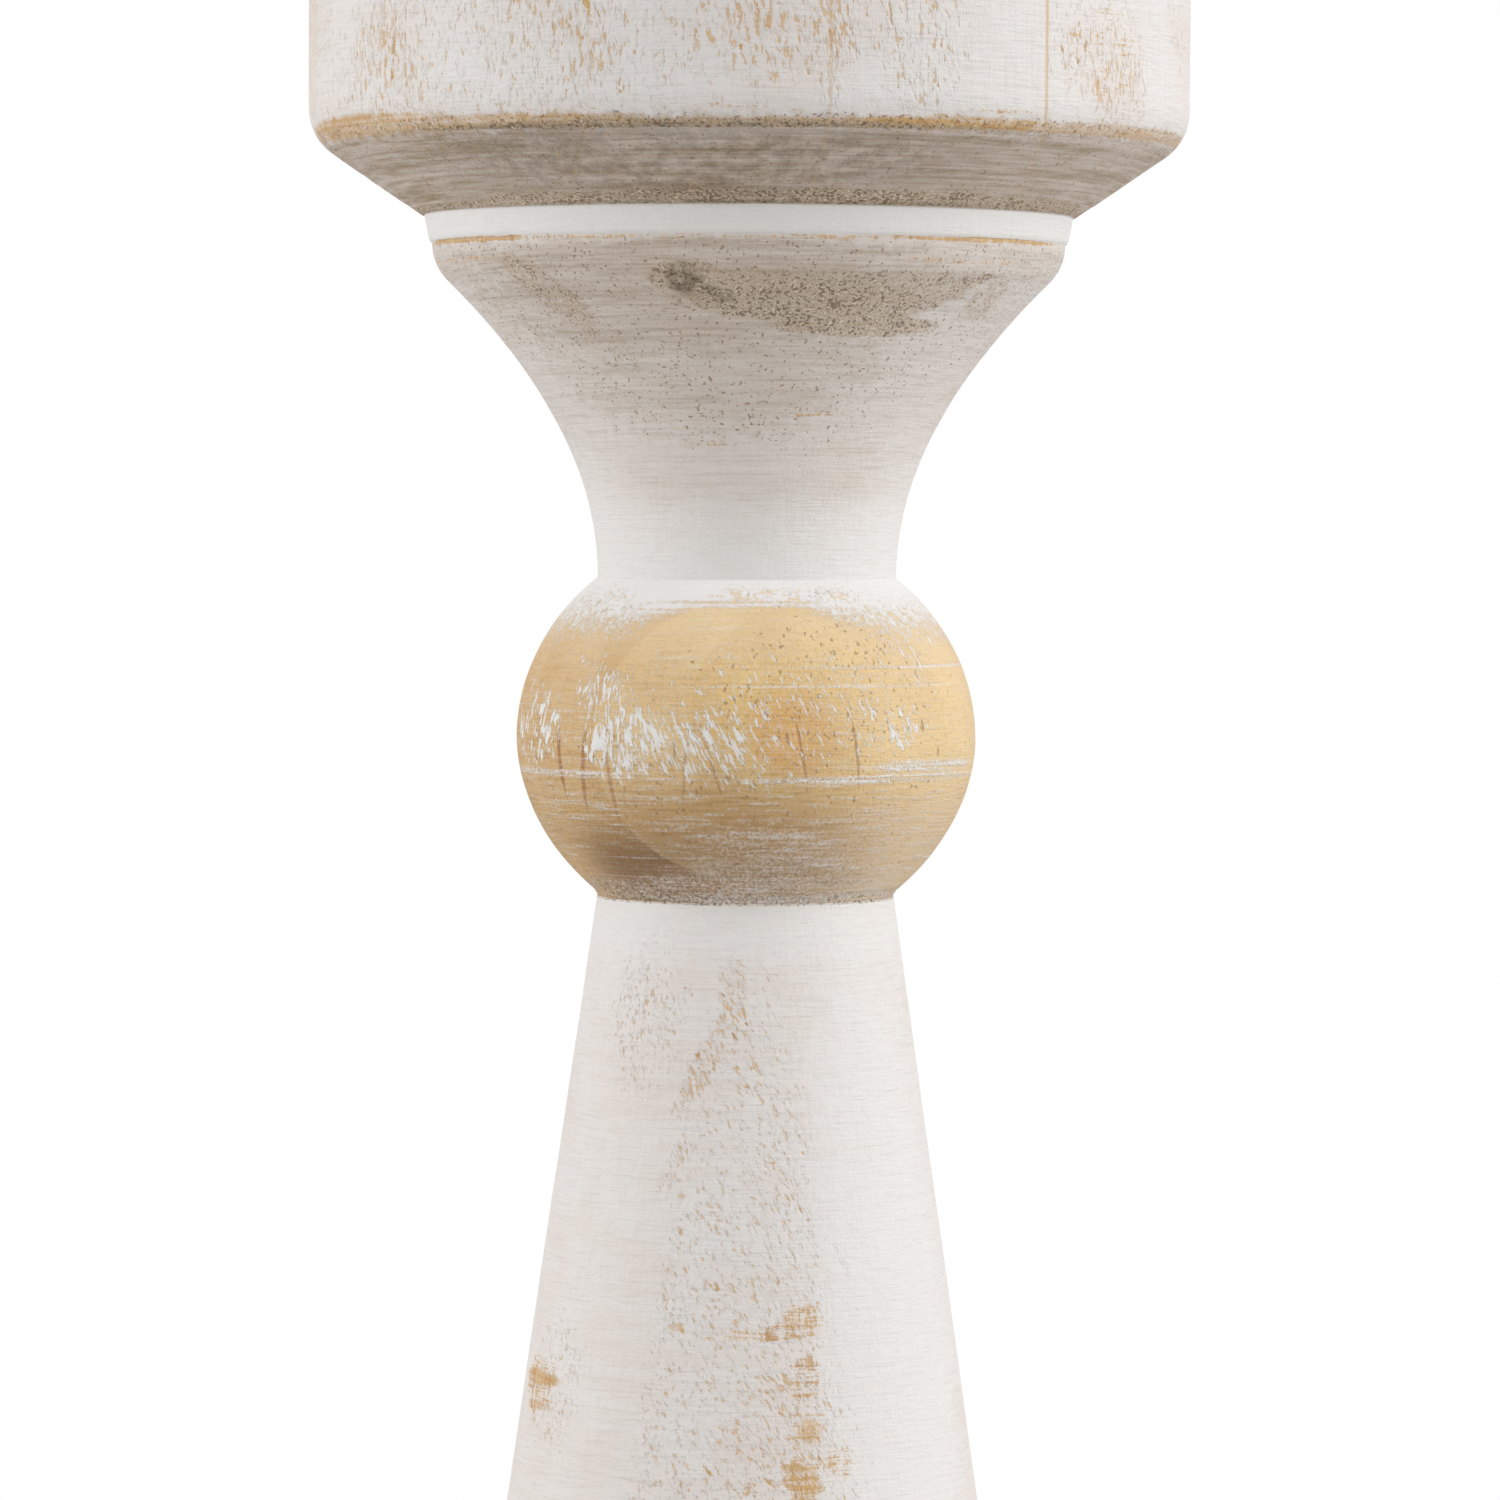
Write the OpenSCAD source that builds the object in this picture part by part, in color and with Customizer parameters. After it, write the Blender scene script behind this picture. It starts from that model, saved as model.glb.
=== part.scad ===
// Turned wooden candlestick for a pillar candle.
// A glued-up cup and foot, a coved neck, a ball and a tapered stem stand on one axis, +Z up,
// with the origin in the middle of the underside, where the felt pads meet the table.

/* [Cup] */
// Diameter of the cup's drum
cup_d = 110; // [104:1:120]
// Height of the drum above its lower corner
cup_drum_h = 32.4; // [28:0.1:40]
// Height of the sloping underside
cup_slope_h = 9.6; // [8:0.1:11]
// Rounding of the drum's lower corner
cup_corner_r = 6.5; // [4:0.5:8]
// Diameter of the candle recess
recess_d = 85; // [80:1:90]
// Depth of the candle recess
recess_depth = 7; // [6:0.5:9]

/* [Neck] */
// Diameter of the neck where it meets the ball
neck_d = 37.4; // [34:0.2:40]
// Height of the neck below its band
neck_h = 41.8; // [41.7:0.1:46]
// Height of the flared part of the neck
flare_h = 36.6; // [35:0.1:36.7]
// Diameter of the neck at the top of the flare
flare_d = 74.4; // [72:0.2:75]
// Diameter of the shoulder over the flare
shoulder_d = 79.2; // [78:0.2:79.4]

/* [Bands] */
// Height of the plain band under the cup and over the foot
band_h = 3.4; // [2.5:0.1:4.5]
// Diameter of the bands where they meet the cup and the foot
band_d = 81.2; // [80.4:0.1:82.4]

/* [Ball] */
// Largest diameter of the ball
ball_d = 57.6; // [54:0.2:62]
// Height of the ball below its widest line
ball_lower_h = 19.7; // [18:0.1:21]
// Height of the ball above its widest line
ball_upper_h = 20.1; // [19:0.1:21]

/* [Stem] */
// Height of the tapered stem
stem_h = 134; // [120:1:200]
// Diameter of the stem where it meets the ball
stem_top_d = 37.2; // [35:0.2:39]
// Diameter of the stem where it meets the foot
stem_foot_d = 76; // [70:0.5:78]

/* [Foot] */
// Diameter of the foot
foot_d = 115; // [108:1:125]
// Height of the foot's straight side
foot_drum_h = 28; // [25:0.5:34]
// Height of the foot's sloping shoulder
foot_slope_h = 10.6; // [8:0.1:12]

/* [Pads] */
// Diameter of a felt pad
pad_d = 18; // [12:1:20]
// Thickness of a felt pad
pad_h = 2; // [1.5:0.1:3]

/* [Hidden] */
$fn = 128;

// Levels along the axis, from the table up.
z_foot = pad_h;
z_foot_corner = z_foot + foot_drum_h;
z_foot_band = z_foot_corner + foot_slope_h;
z_stem = z_foot_band + band_h;
z_ball = z_stem + stem_h;
z_neck = z_ball + ball_lower_h + ball_upper_h;
z_band = z_neck + neck_h;
z_cup = z_band + band_h;
z_cup_corner = z_cup + cup_slope_h;
z_top = z_cup_corner + cup_drum_h;
z_floor = z_top - recess_depth;

// Glued-up blanks: planks side by side, grain along the axis.
planks = 4;
cup_turn = 10;
foot_turn = -24;
ledge_step = 0.3;
ledge_r = band_d / 2 + ledge_step;
edge_r = 2.2;
lip_r = 1;

// The band stands a little proud of the neck's shoulder, and the foot's band tapers.
shoulder_round_r = 6.5;
band_step = 0.4;
foot_band_taper = 0.5;

// Joinery: round tenons in blind holes, and one dowel through the ball.
glue_gap = 0.1;
tenon_r = 15;
tenon_l = 12;
tenon_chamfer = 1;
hole_spare = 0.3;
dowel_r = 10;
dowel_grip = 19.5;
dowel_chamfer = 1.5;

// Ball outline: the lower half is a little fuller than a half ellipse.
ball_upper_reach = 26.5;
ball_lower_reach = 25.8;
ball_upper_power = 2;
ball_lower_power = 1.85;

// Drip pan: pressed sheet with an upturned rim and a sunk seat for the spike's collar.
sheet_t = 0.8;
pan_gap = 0.4;
pan_lip = 0.6;
pan_bend_r = 2;
seat_depth = 1.2;
seat_r = 7.5;
pocket_r = seat_r + 2;

// Spike: a collar with a point above it and a screw shank below.
collar_r = 5.5;
collar_t = seat_depth;
spike_r = 2;
spike_shank_h = 12;
spike_point_h = 16;
spike_screw_l = 17;

// Foot screw, from a counterbore under the foot into the stem.
bolt_r = 3;
bolt_l = 60;
bolt_point_l = 6;
bolt_head_r = 5.8;
bolt_head_h = 4;
bolt_hole_r = 3.4;
washer_r = 10;
washer_t = 1.6;
counterbore_r = 13;
counterbore_depth = 10;

pads = 4;
pad_inset = 5;
pad_circle_r = foot_d / 2 - pad_d / 2 - pad_inset;
pad_edge = 0.4;

overcut = 1;

function unit(v) = v / norm(v);

// Points of an arc of radius r that rounds the corner at p between its neighbours a and b.
function round_corner(a, p, b, r, n = 10) =
    let (u = unit(a - p), v = unit(b - p), half = acos(u * v) / 2)
    let (c = p + unit(u + v) * r / sin(half), s = p + u * r / tan(half) - c, e = p + v * r / tan(half) - c)
    let (from = atan2(s.y, s.x), turn = atan2(e.y, e.x) - from)
    let (sweep = turn > 180 ? turn - 360 : turn < -180 ? turn + 360 : turn)
    [for (i = [0 : n]) c + r * [cos(from + sweep * i / n), sin(from + sweep * i / n)]];

// Radius of the neck's flare at a height above the ball, and of the ball above its widest line.
function flare_radius(h) = neck_d / 2 + (flare_d - neck_d) / 2 * pow(h / flare_h, 2);
function ball_radius(h, reach, power) = ball_d / 2 * sqrt(1 - pow(abs(h) / reach, power));

module turned(outline) rotate_extrude() polygon(outline);

module bored(r, z_from, z_to) translate([0, 0, z_from]) cylinder(r = r, h = z_to - z_from);

// One plank, number k of the blank of diameter d, turned about the axis.
module plank(k, d, turn) {
    w = d / planks;
    reach = d + overcut;
    x_from = k == 0 ? -reach : -d / 2 + k * w;
    x_to = k == planks - 1 ? reach : -d / 2 + (k + 1) * w;
    rotate(turn) translate([x_from, -reach, -overcut]) cube([x_to - x_from, 2 * reach, z_top + 2 * overcut]);
}

module cup_blank() {
    side = [cup_d / 2, z_cup_corner];
    rim = [cup_d / 2, z_top];
    lip = [recess_d / 2, z_top];
    ledge = [ledge_r, z_cup];
    difference() {
        turned(concat(
            [[0, z_cup], ledge],
            round_corner(ledge, side, rim, cup_corner_r),
            round_corner(side, rim, lip, edge_r, 6),
            round_corner(rim, lip, [recess_d / 2, z_floor], lip_r, 4),
            [[recess_d / 2, z_floor], [pocket_r, z_floor], [pocket_r, z_floor - seat_depth],
                [0, z_floor - seat_depth]]));
        bored(tenon_r + glue_gap, z_cup - overcut, z_cup + tenon_l + hole_spare);
        bored(spike_r + glue_gap, z_floor - seat_depth - spike_screw_l - hole_spare, z_floor);
    }
}

module cup_stave(k) color("antiquewhite") intersection() {
    cup_blank();
    plank(k, cup_d, cup_turn);
}

module drip_pan() {
    outer = recess_d / 2 - pan_gap;
    top = z_top - pan_lip;
    color("darkgray") turned(concat(
        [[spike_r + glue_gap, z_floor - seat_depth], [seat_r, z_floor - seat_depth],
            [seat_r + seat_depth, z_floor]],
        round_corner([seat_r, z_floor], [outer, z_floor], [outer, top], pan_bend_r, 6),
        [[outer, top], [outer - sheet_t, top]],
        round_corner([outer - sheet_t, top], [outer - sheet_t, z_floor + sheet_t],
            [seat_r, z_floor + sheet_t], pan_bend_r - sheet_t, 6),
        [[seat_r + seat_depth - sheet_t / 2, z_floor + sheet_t],
            [seat_r - sheet_t / 2, z_floor - seat_depth + sheet_t],
            [spike_r + glue_gap, z_floor - seat_depth + sheet_t]]));
}

module candle_spike() {
    z_collar = z_floor - seat_depth + sheet_t;
    color("dimgray") turned([
        [0, z_floor - seat_depth - spike_screw_l],
        [spike_r, z_floor - seat_depth - spike_screw_l + 2 * spike_r],
        [spike_r, z_collar], [collar_r, z_collar], [collar_r, z_collar + collar_t],
        [spike_r, z_collar + collar_t],
        [spike_r, z_collar + collar_t + spike_shank_h],
        [0, z_collar + collar_t + spike_shank_h + spike_point_h]]);
}

module neck() {
    steps = 24;
    flare = [for (i = [0 : steps - 1]) [flare_radius(flare_h * i / steps), z_neck + flare_h * i / steps]];
    top_of_flare = [flare_d / 2, z_neck + flare_h];
    slope = (flare_d - neck_d) / flare_h;
    shoulder = [shoulder_d / 2, top_of_flare.y + (shoulder_d - flare_d) / 2 / slope];
    color("whitesmoke") difference() {
        turned(concat(
            [[0, z_neck]], flare,
            round_corner(top_of_flare, shoulder, [shoulder_d / 2, z_band], shoulder_round_r, 8),
            [[shoulder_d / 2, z_band], [shoulder_d / 2 + band_step, z_band], [band_d / 2, z_cup],
                [tenon_r, z_cup], [tenon_r, z_cup + tenon_l - tenon_chamfer],
                [tenon_r - tenon_chamfer, z_cup + tenon_l],
                [0, z_cup + tenon_l]]));
        bored(dowel_r + glue_gap, z_neck - overcut, z_neck + dowel_grip + hole_spare);
    }
}

module ball() {
    steps = 20;
    low = ball_lower_h / steps;
    high = ball_upper_h / steps;
    z_wide = z_ball + ball_lower_h;
    color("burlywood") difference() {
        turned(concat(
            [[0, z_ball]],
            [for (i = [-steps : 0]) [ball_radius(i * low, ball_lower_reach, ball_lower_power),
                z_wide + i * low]],
            [for (i = [1 : steps]) [ball_radius(i * high, ball_upper_reach, ball_upper_power),
                z_wide + i * high]],
            [[0, z_neck]]));
        bored(dowel_r + glue_gap, z_ball - overcut, z_neck + overcut);
    }
}

module centre_dowel() color("wheat") turned([
    [0, z_ball - dowel_grip], [dowel_r - dowel_chamfer, z_ball - dowel_grip],
    [dowel_r, z_ball - dowel_grip + dowel_chamfer], [dowel_r, z_neck + dowel_grip - dowel_chamfer],
    [dowel_r - dowel_chamfer, z_neck + dowel_grip], [0, z_neck + dowel_grip]]);

module stem() color("whitesmoke") difference() {
    turned([
        [0, z_stem - tenon_l], [tenon_r - tenon_chamfer, z_stem - tenon_l],
        [tenon_r, z_stem - tenon_l + tenon_chamfer], [tenon_r, z_stem],
        [stem_foot_d / 2, z_stem], [stem_top_d / 2, z_ball], [0, z_ball]]);
    bored(dowel_r + glue_gap, z_ball - dowel_grip - hole_spare, z_ball + overcut);
    bored(bolt_r + glue_gap, z_stem - tenon_l - overcut, z_foot + counterbore_depth + bolt_l);
}

module foot_blank() {
    side = [foot_d / 2, z_foot_corner];
    base = [foot_d / 2, z_foot];
    ledge = [ledge_r, z_foot_band];
    difference() {
        turned(concat(
            [[0, z_foot]],
            round_corner([0, z_foot], base, side, edge_r, 6),
            round_corner(base, side, ledge, cup_corner_r),
            [ledge, [band_d / 2, z_foot_band], [band_d / 2 - foot_band_taper, z_stem], [0, z_stem]]));
        bored(tenon_r + glue_gap, z_stem - tenon_l - hole_spare, z_stem + overcut);
        bored(bolt_hole_r, z_foot - overcut, z_stem);
        bored(counterbore_r, z_foot - overcut, z_foot + counterbore_depth);
    }
}

module foot_stave(k) color("antiquewhite") intersection() {
    foot_blank();
    plank(k, foot_d, foot_turn);
}

module foot_screw() {
    z_head = z_foot + counterbore_depth - washer_t;
    color("silver") {
        translate([0, 0, z_head - bolt_head_h]) cylinder(r = bolt_head_r, h = bolt_head_h, $fn = 6);
        turned([[0, z_head - overcut], [bolt_r, z_head - overcut], [bolt_r, z_head + bolt_l - bolt_point_l],
            [0, z_head + bolt_l]]);
    }
}

module foot_washer() color("silver") difference() {
    bored(washer_r, z_foot + counterbore_depth - washer_t, z_foot + counterbore_depth);
    bored(bolt_hole_r, z_foot, z_stem);
}

module felt_pad(k) color("saddlebrown") rotate(45 + k * 360 / pads) translate([pad_circle_r, 0, 0])
    turned([[0, 0], [pad_d / 2 - pad_edge, 0], [pad_d / 2, pad_edge], [pad_d / 2, pad_h], [0, pad_h]]);

cup_stave(0);  // cup_stave_1
cup_stave(1);  // cup_stave_2
cup_stave(2);  // cup_stave_3
cup_stave(3);  // cup_stave_4
drip_pan();
candle_spike();
neck();
ball();
centre_dowel();
stem();
foot_stave(0);  // foot_stave_1
foot_stave(1);  // foot_stave_2
foot_stave(2);  // foot_stave_3
foot_stave(3);  // foot_stave_4
foot_screw();
foot_washer();
felt_pad(0);  // felt_pad_1
felt_pad(1);  // felt_pad_2
felt_pad(2);  // felt_pad_3
felt_pad(3);  // felt_pad_4
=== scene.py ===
"""Looks of a whitewashed, turned wooden candlestick, built round its CAD frame."""
import math

import bpy
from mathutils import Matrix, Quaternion, Vector


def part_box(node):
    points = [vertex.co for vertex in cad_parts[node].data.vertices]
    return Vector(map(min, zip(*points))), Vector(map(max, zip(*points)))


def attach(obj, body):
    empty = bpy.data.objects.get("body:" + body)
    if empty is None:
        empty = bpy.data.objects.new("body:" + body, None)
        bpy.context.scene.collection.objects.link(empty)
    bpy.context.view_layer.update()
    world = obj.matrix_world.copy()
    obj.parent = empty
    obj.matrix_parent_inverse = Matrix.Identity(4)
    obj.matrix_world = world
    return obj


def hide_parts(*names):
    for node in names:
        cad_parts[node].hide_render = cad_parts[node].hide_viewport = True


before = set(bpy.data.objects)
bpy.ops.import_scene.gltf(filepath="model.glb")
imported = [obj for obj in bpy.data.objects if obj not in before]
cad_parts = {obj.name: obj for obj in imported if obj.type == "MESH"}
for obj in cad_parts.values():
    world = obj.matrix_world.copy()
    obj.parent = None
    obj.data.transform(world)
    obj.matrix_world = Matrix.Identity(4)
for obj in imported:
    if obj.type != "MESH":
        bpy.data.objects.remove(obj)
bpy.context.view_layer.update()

MM = 0.001
TURN = 2 * math.pi


# ---------------------------------------------------------------- sizes, in millimetres

def span(node, axis=2):
    """Lowest and highest place of a CAD node along one axis."""
    low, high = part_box(node)
    return low[axis] / MM, high[axis] / MM


FOOT_LOW, FOOT_TOP = span("foot_stave_2")
BALL_LOW, BALL_TOP = span("ball")
STEM_LOW = span("stem")[0]
CUP_LOW, CUP_TOP = span("cup_stave_2")
NECK_TOP = span("neck")[1]
PAN_LOW, PAN_TOP = span("drip_pan")
SPIKE_LOW, SPIKE_TOP = span("candle_spike")
PAD_TOP = span("felt_pad_1")[1]

CUP_R = span("cup_stave_4", 0)[1]
FOOT_R = span("foot_stave_4", 0)[1]
BALL_R = span("ball", 0)[1]
STEM_FOOT_R = span("stem", 0)[1]
PAN_R = span("drip_pan", 0)[1]
BAND_R = span("neck", 0)[1]

PLANKS = 4
CUP_TURN = 10
FOOT_TURN = -24

# Heights and radii that the boxes don't give.
CUP_CORNER = CUP_LOW + 9.6
CUP_CORNER_R = 6.5
EDGE_ROUND = 2.2
LEDGE_R = BAND_R + 0.3
RECESS_R = PAN_R + 0.5
RECESS_FLOOR = CUP_TOP - 7
POCKET_R = 9.5
SPIKE_HOLE_R = 2.1
BAND_LOW = CUP_LOW - 3.4
THROAT_R = 18.7
FLARE_R = 37.2
FLARE_H = 36.6
SHOULDER_R = 39.6
SHOULDER_RISE = 2.37
SHOULDER_ROUND = 6.5
STEM_TOP_R = 18.6
BALL_WIDE = BALL_LOW + 19.7
FOOT_CORNER = FOOT_LOW + 28
FOOT_SHOULDER = FOOT_TOP - 3.4
TENON_R = 15
DOWEL_HOLE_R = 10.1
DOWEL_GRIP = 19.8
SCREW_HOLE_R = 3.4
COUNTERBORE_R = 13

# The glued fits have a gap round the tenon and a larger one past its end.
MORTISE_R = TENON_R + 0.1
END_GAP = 0.3

# How fine the turned skins are: the longest step along an outline, and the steps round the axis.
SKIN_STEP = 0.6
SPIN_STEPS = 640
MERGE = 0.002 * MM


# ---------------------------------------------------------------- camera

EYE_DISTANCE = 841
EYE_HEIGHT = 230
AIM = Vector((0.5, 0, 196.2))
LENS = 160.8
SENSOR = 36
CAMERA_ROLL = math.radians(0.29)


def set_camera():
    """A long lens a little above the ball, level with the neck."""
    data = bpy.data.cameras.new("camera")
    data.lens = LENS
    data.sensor_width = SENSOR
    data.clip_start = 0.05
    data.clip_end = 20
    camera = bpy.data.objects.new("camera", data)
    eye = Vector((AIM.x, -EYE_DISTANCE, EYE_HEIGHT))
    camera.location = eye * MM
    camera.rotation_mode = "QUATERNION"
    look = (AIM - eye).to_track_quat("-Z", "Y")
    camera.rotation_quaternion = look @ Quaternion((0, 0, 1), CAMERA_ROLL)
    bpy.context.scene.collection.objects.link(camera)
    bpy.context.scene.camera = camera


set_camera()


# ---------------------------------------------------------------- node trees

def tone(red, green, blue):
    """A colour given as 0 to 255, as the linear values that a shader reads."""
    def linear(value):
        value /= 255
        return value / 12.92 if value <= 0.04045 else ((value + 0.055) / 1.055) ** 2.4
    return (linear(red), linear(green), linear(blue), 1)


class Tree:
    """Adds nodes to one tree. Each call gives back the new node's output."""

    def __init__(self, tree):
        self.tree = tree

    def join(self, value, socket):
        if isinstance(value, bpy.types.NodeSocket):
            self.tree.links.new(value, socket)
        else:
            socket.default_value = value

    def node(self, kind, inputs, **options):
        """Adds a node and gives back all its outputs."""
        node = self.tree.nodes.new("ShaderNode" + kind)
        for option, value in options.items():
            setattr(node, option, value)
        for socket, value in inputs.items():
            self.join(value, node.inputs[socket])
        return node.outputs

    def add(self, kind, inputs, output=0, **options):
        return self.node(kind, inputs, **options)[output]

    def use(self, group, **inputs):
        """Places a node group. Its inputs are named with _ for a space. Gives back its outputs."""
        named = {name.replace("_", " "): value for name, value in inputs.items()}
        return self.node("Group", named, node_tree=group)

    def maths(self, operation, a, b=0.0, c=0.0):
        return self.add("Math", {0: a, 1: b, 2: c}, operation=operation)

    def plus(self, a, b):
        return self.maths("ADD", a, b)

    def less(self, a, b):
        return self.maths("SUBTRACT", a, b)

    def scaled(self, a, b, c):
        """a times b plus c."""
        return self.maths("MULTIPLY_ADD", a, b, c)

    def times(self, first, *others):
        for value in others:
            first = self.maths("MULTIPLY", first, value)
        return first

    def most(self, first, *others):
        for value in others:
            first = self.maths("MAXIMUM", first, value)
        return first

    def ease(self, value, start, end, low=0.0, high=1.0):
        """Goes smoothly from low to high as value goes from start to end."""
        inputs = {"Value": value, "From Min": start, "From Max": end, "To Min": low, "To Max": high}
        return self.add("MapRange", inputs, interpolation_type="SMOOTHSTEP")

    def mix(self, factor, a, b):
        return self.add("Mix", {0: factor, 6: a, 7: b}, output=2, data_type="RGBA")

    def coats(self, base, *layers):
        """Lays colours over a base, one after the other, each by its own factor."""
        for factor, colour in layers:
            base = self.mix(factor, base, colour)
        return base

    def stretch(self, vector, factors):
        return self.add("VectorMath", {0: vector, 1: factors}, operation="MULTIPLY")

    def move(self, vector, offset):
        return self.add("VectorMath", {0: vector, 1: offset}, operation="ADD")

    def noise(self, vector, scale, detail=2.0, roughness=0.5, distortion=0.0):
        inputs = {"Vector": vector, "Scale": scale, "Detail": detail, "Roughness": roughness,
                  "Distortion": distortion}
        return self.add("TexNoise", inputs)

    def wander(self, vector, scale, detail, far):
        """The same places, moved about by a cloud pattern."""
        pattern = self.add("TexNoise", {"Vector": vector, "Scale": scale, "Detail": detail}, output=1)
        return self.add("VectorMath", {0: pattern, 1: (far, far, far), 2: vector}, operation="MULTIPLY_ADD")

    def cells(self, vector, across, along):
        """The same places, counted in cells of a width and a height."""
        size = self.add("CombineXYZ", {"X": across, "Y": across, "Z": along})
        return self.add("VectorMath", {0: vector, 1: size}, operation="DIVIDE")


def new_group(name, inputs, outputs):
    """An empty node group with named sockets. Inputs are {name: default}, outputs {name: kind}."""
    group = bpy.data.node_groups.new(name, "ShaderNodeTree")
    for label, value in inputs.items():
        kind = "NodeSocketVector" if isinstance(value, tuple) else "NodeSocketFloat"
        socket = group.interface.new_socket(label, in_out="INPUT", socket_type=kind)
        socket.default_value = value
    for label, kind in outputs.items():
        group.interface.new_socket(label, in_out="OUTPUT", socket_type="NodeSocket" + kind)
    tree = Tree(group)
    given = group.nodes.new("NodeGroupInput").outputs
    results = group.nodes.new("NodeGroupOutput").inputs
    return group, tree, given, results


# ---------------------------------------------------------------- shared effects

def make_turned_place():
    """Where a point is on the turning: degrees right of the front, height, position in mm."""
    outputs = {"Angle": "Float", "Height": "Float", "Position": "Vector"}
    group, t, given, results = new_group("turned place", {"Vector": (0, 0, 0)}, outputs)
    position = t.stretch(given["Vector"], (1 / MM, 1 / MM, 1 / MM))
    x, y, z = t.node("SeparateXYZ", {0: position})
    t.join(t.times(t.maths("ARCTAN2", x, t.times(y, -1)), 360 / TURN), results["Angle"])
    t.join(z, results["Height"])
    t.join(position, results["Position"])
    return group


def make_patch():
    """A ragged oval on the turning, at an angle and a height."""
    inputs = {"Angle": 0.0, "Height": 0.0, "At angle": 0.0, "At height": 0.0, "Half angle": 10.0,
              "Half height": 5.0, "Lean": 0.0, "Ragged": 0.5, "Noise": 0.5}
    group, t, given, results = new_group("patch", inputs, {"Mask": "Float"})
    up = t.less(given["Height"], given["At height"])
    leant = t.scaled(up, given["Lean"], given["At angle"])
    across = t.maths("DIVIDE", t.less(given["Angle"], leant), given["Half angle"])
    up = t.maths("DIVIDE", up, given["Half height"])
    reach = t.maths("SQRT", t.scaled(across, across, t.times(up, up)))
    shift = t.times(t.less(given["Noise"], 0.5), given["Ragged"])
    t.join(t.ease(t.plus(reach, shift), 1.35, 0.65), results["Mask"])
    return group


def make_beyond():
    """The part of the wood beyond a flat growth layer, which faces an angle and may lean."""
    inputs = {"Position": (0, 0, 0), "Facing": 0.0, "Distance": 20.0, "Level": 0.0, "Lean": 0.0,
              "Soft": 0.6, "Noise": 0.5}
    group, t, given, results = new_group("beyond layer", inputs, {"Mask": "Float", "Edge": "Float"})
    x, y, z = t.node("SeparateXYZ", {0: given["Position"]})
    facing = t.times(given["Facing"], TURN / 360)
    front = t.times(y, t.times(t.maths("COSINE", facing), -1))
    depth = t.scaled(x, t.maths("SINE", facing), front)
    sunk = t.times(t.less(given["Level"], z), given["Lean"])
    layer = t.plus(given["Distance"], sunk)
    wobble = t.times(t.less(given["Noise"], 0.5), given["Soft"])
    beyond = t.plus(t.less(depth, layer), wobble)
    soft = t.times(given["Soft"], 0.5)
    t.join(t.ease(beyond, t.times(soft, -1), soft), results["Mask"])
    t.join(t.ease(t.maths("ABSOLUTE", beyond), soft, 0), results["Edge"])
    return group


def make_pores():
    """Open pores: short ticks along the grain where the cut runs with it, dots on end grain."""
    inputs = {"Position": (0, 0, 0), "Across": 1.0, "Along": 3.6, "Lean": 0.0, "Amount": 0.3, "Size": 0.4}
    group, t, given, results = new_group("pores", inputs, {"Mask": "Float"})
    lean = t.add("CombineXYZ", {"Y": given["Lean"]})
    turned = t.add("VectorRotate", {"Vector": given["Position"], "Rotation": lean},
                   rotation_type="EULER_XYZ")
    cells = t.cells(t.wander(turned, 0.35, 1, 0.9), given["Across"], given["Along"])
    voronoi = t.node("TexVoronoi", {"Scale": 1, "Vector": cells})
    chance = t.add("SeparateColor", {0: voronoi["Color"]})
    present = t.ease(t.less(given["Amount"], chance), -0.04, 0.04)
    shape = t.ease(voronoi["Distance"], given["Size"], t.times(given["Size"], 0.55))
    t.join(t.times(present, shape), results["Mask"])
    return group


def make_chips():
    """Paint caught in, or chipped out of, the open pores: slanted flecks, more as the amount grows."""
    inputs = {"Position": (0, 0, 0), "Across": 0.6, "Along": 1.9, "Lean": 0.0, "Level": 200.0, "Amount": 0.3}
    group, t, given, results = new_group("chips", inputs, {"Mask": "Float", "Relief": "Float"})
    z = t.add("SeparateXYZ", {0: given["Position"]}, output=2)
    slide = t.times(t.less(z, given["Level"]), given["Lean"])
    leant = t.wander(t.move(given["Position"], t.add("CombineXYZ", {"X": slide})), 0.8, 2, 0.7)
    field = t.noise(t.cells(leant, given["Across"], given["Along"]), 0.62, detail=2.5, roughness=0.6)
    over = t.plus(field, t.scaled(given["Amount"], 0.22, -0.73))
    there = t.ease(given["Amount"], 0.04, 0.25)
    t.join(t.times(t.ease(over, -0.012, 0.03), there), results["Mask"])
    t.join(t.times(t.ease(over, -0.1, 0.02), there), results["Relief"])
    return group


def make_specks():
    """Pinholes scattered over end grain."""
    inputs = {"Position": (0, 0, 0), "Size": 0.36, "Amount": 0.3}
    group, t, given, results = new_group("specks", inputs, {"Mask": "Float"})
    field = t.noise(t.add("VectorMath", {0: given["Position"], 3: t.maths("DIVIDE", 0.75, given["Size"])},
                          operation="SCALE"), 1.0, detail=1.5, roughness=0.6)
    over = t.plus(field, t.scaled(given["Amount"], 0.22, -0.78))
    t.join(t.ease(over, -0.01, 0.035), results["Mask"])
    return group


def make_strokes():
    """Brush strokes laid round the turning while it spins, from short dashes to long level lines."""
    inputs = {"Position": (0, 0, 0), "Fineness": 0.26}
    group, t, given, results = new_group("brush strokes", inputs,
                                         {"Fine": "Float", "Long": "Float", "Broad": "Float"})
    level = t.maths("DIVIDE", 1.0, given["Fineness"])
    tilted = t.add("VectorRotate", {"Vector": given["Position"], "Axis": (1, 0, 0), "Angle": 0.012})
    for name, rate, offset, share, detail in (("Fine", 0.16, 0.0, 0.7, 3.0),
                                              ("Long", 0.035, 3.7, 0.6, 3.0),
                                              ("Broad", 0.025, 9.1, 0.14, 2.5)):
        height = t.times(level, share)
        factors = t.add("CombineXYZ", {"X": rate, "Y": rate, "Z": height})
        moved = t.move(tilted, (offset, offset, offset))
        t.join(t.noise(t.stretch(moved, factors), 1.0, detail=detail, roughness=0.65), results[name])
    return group


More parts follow.
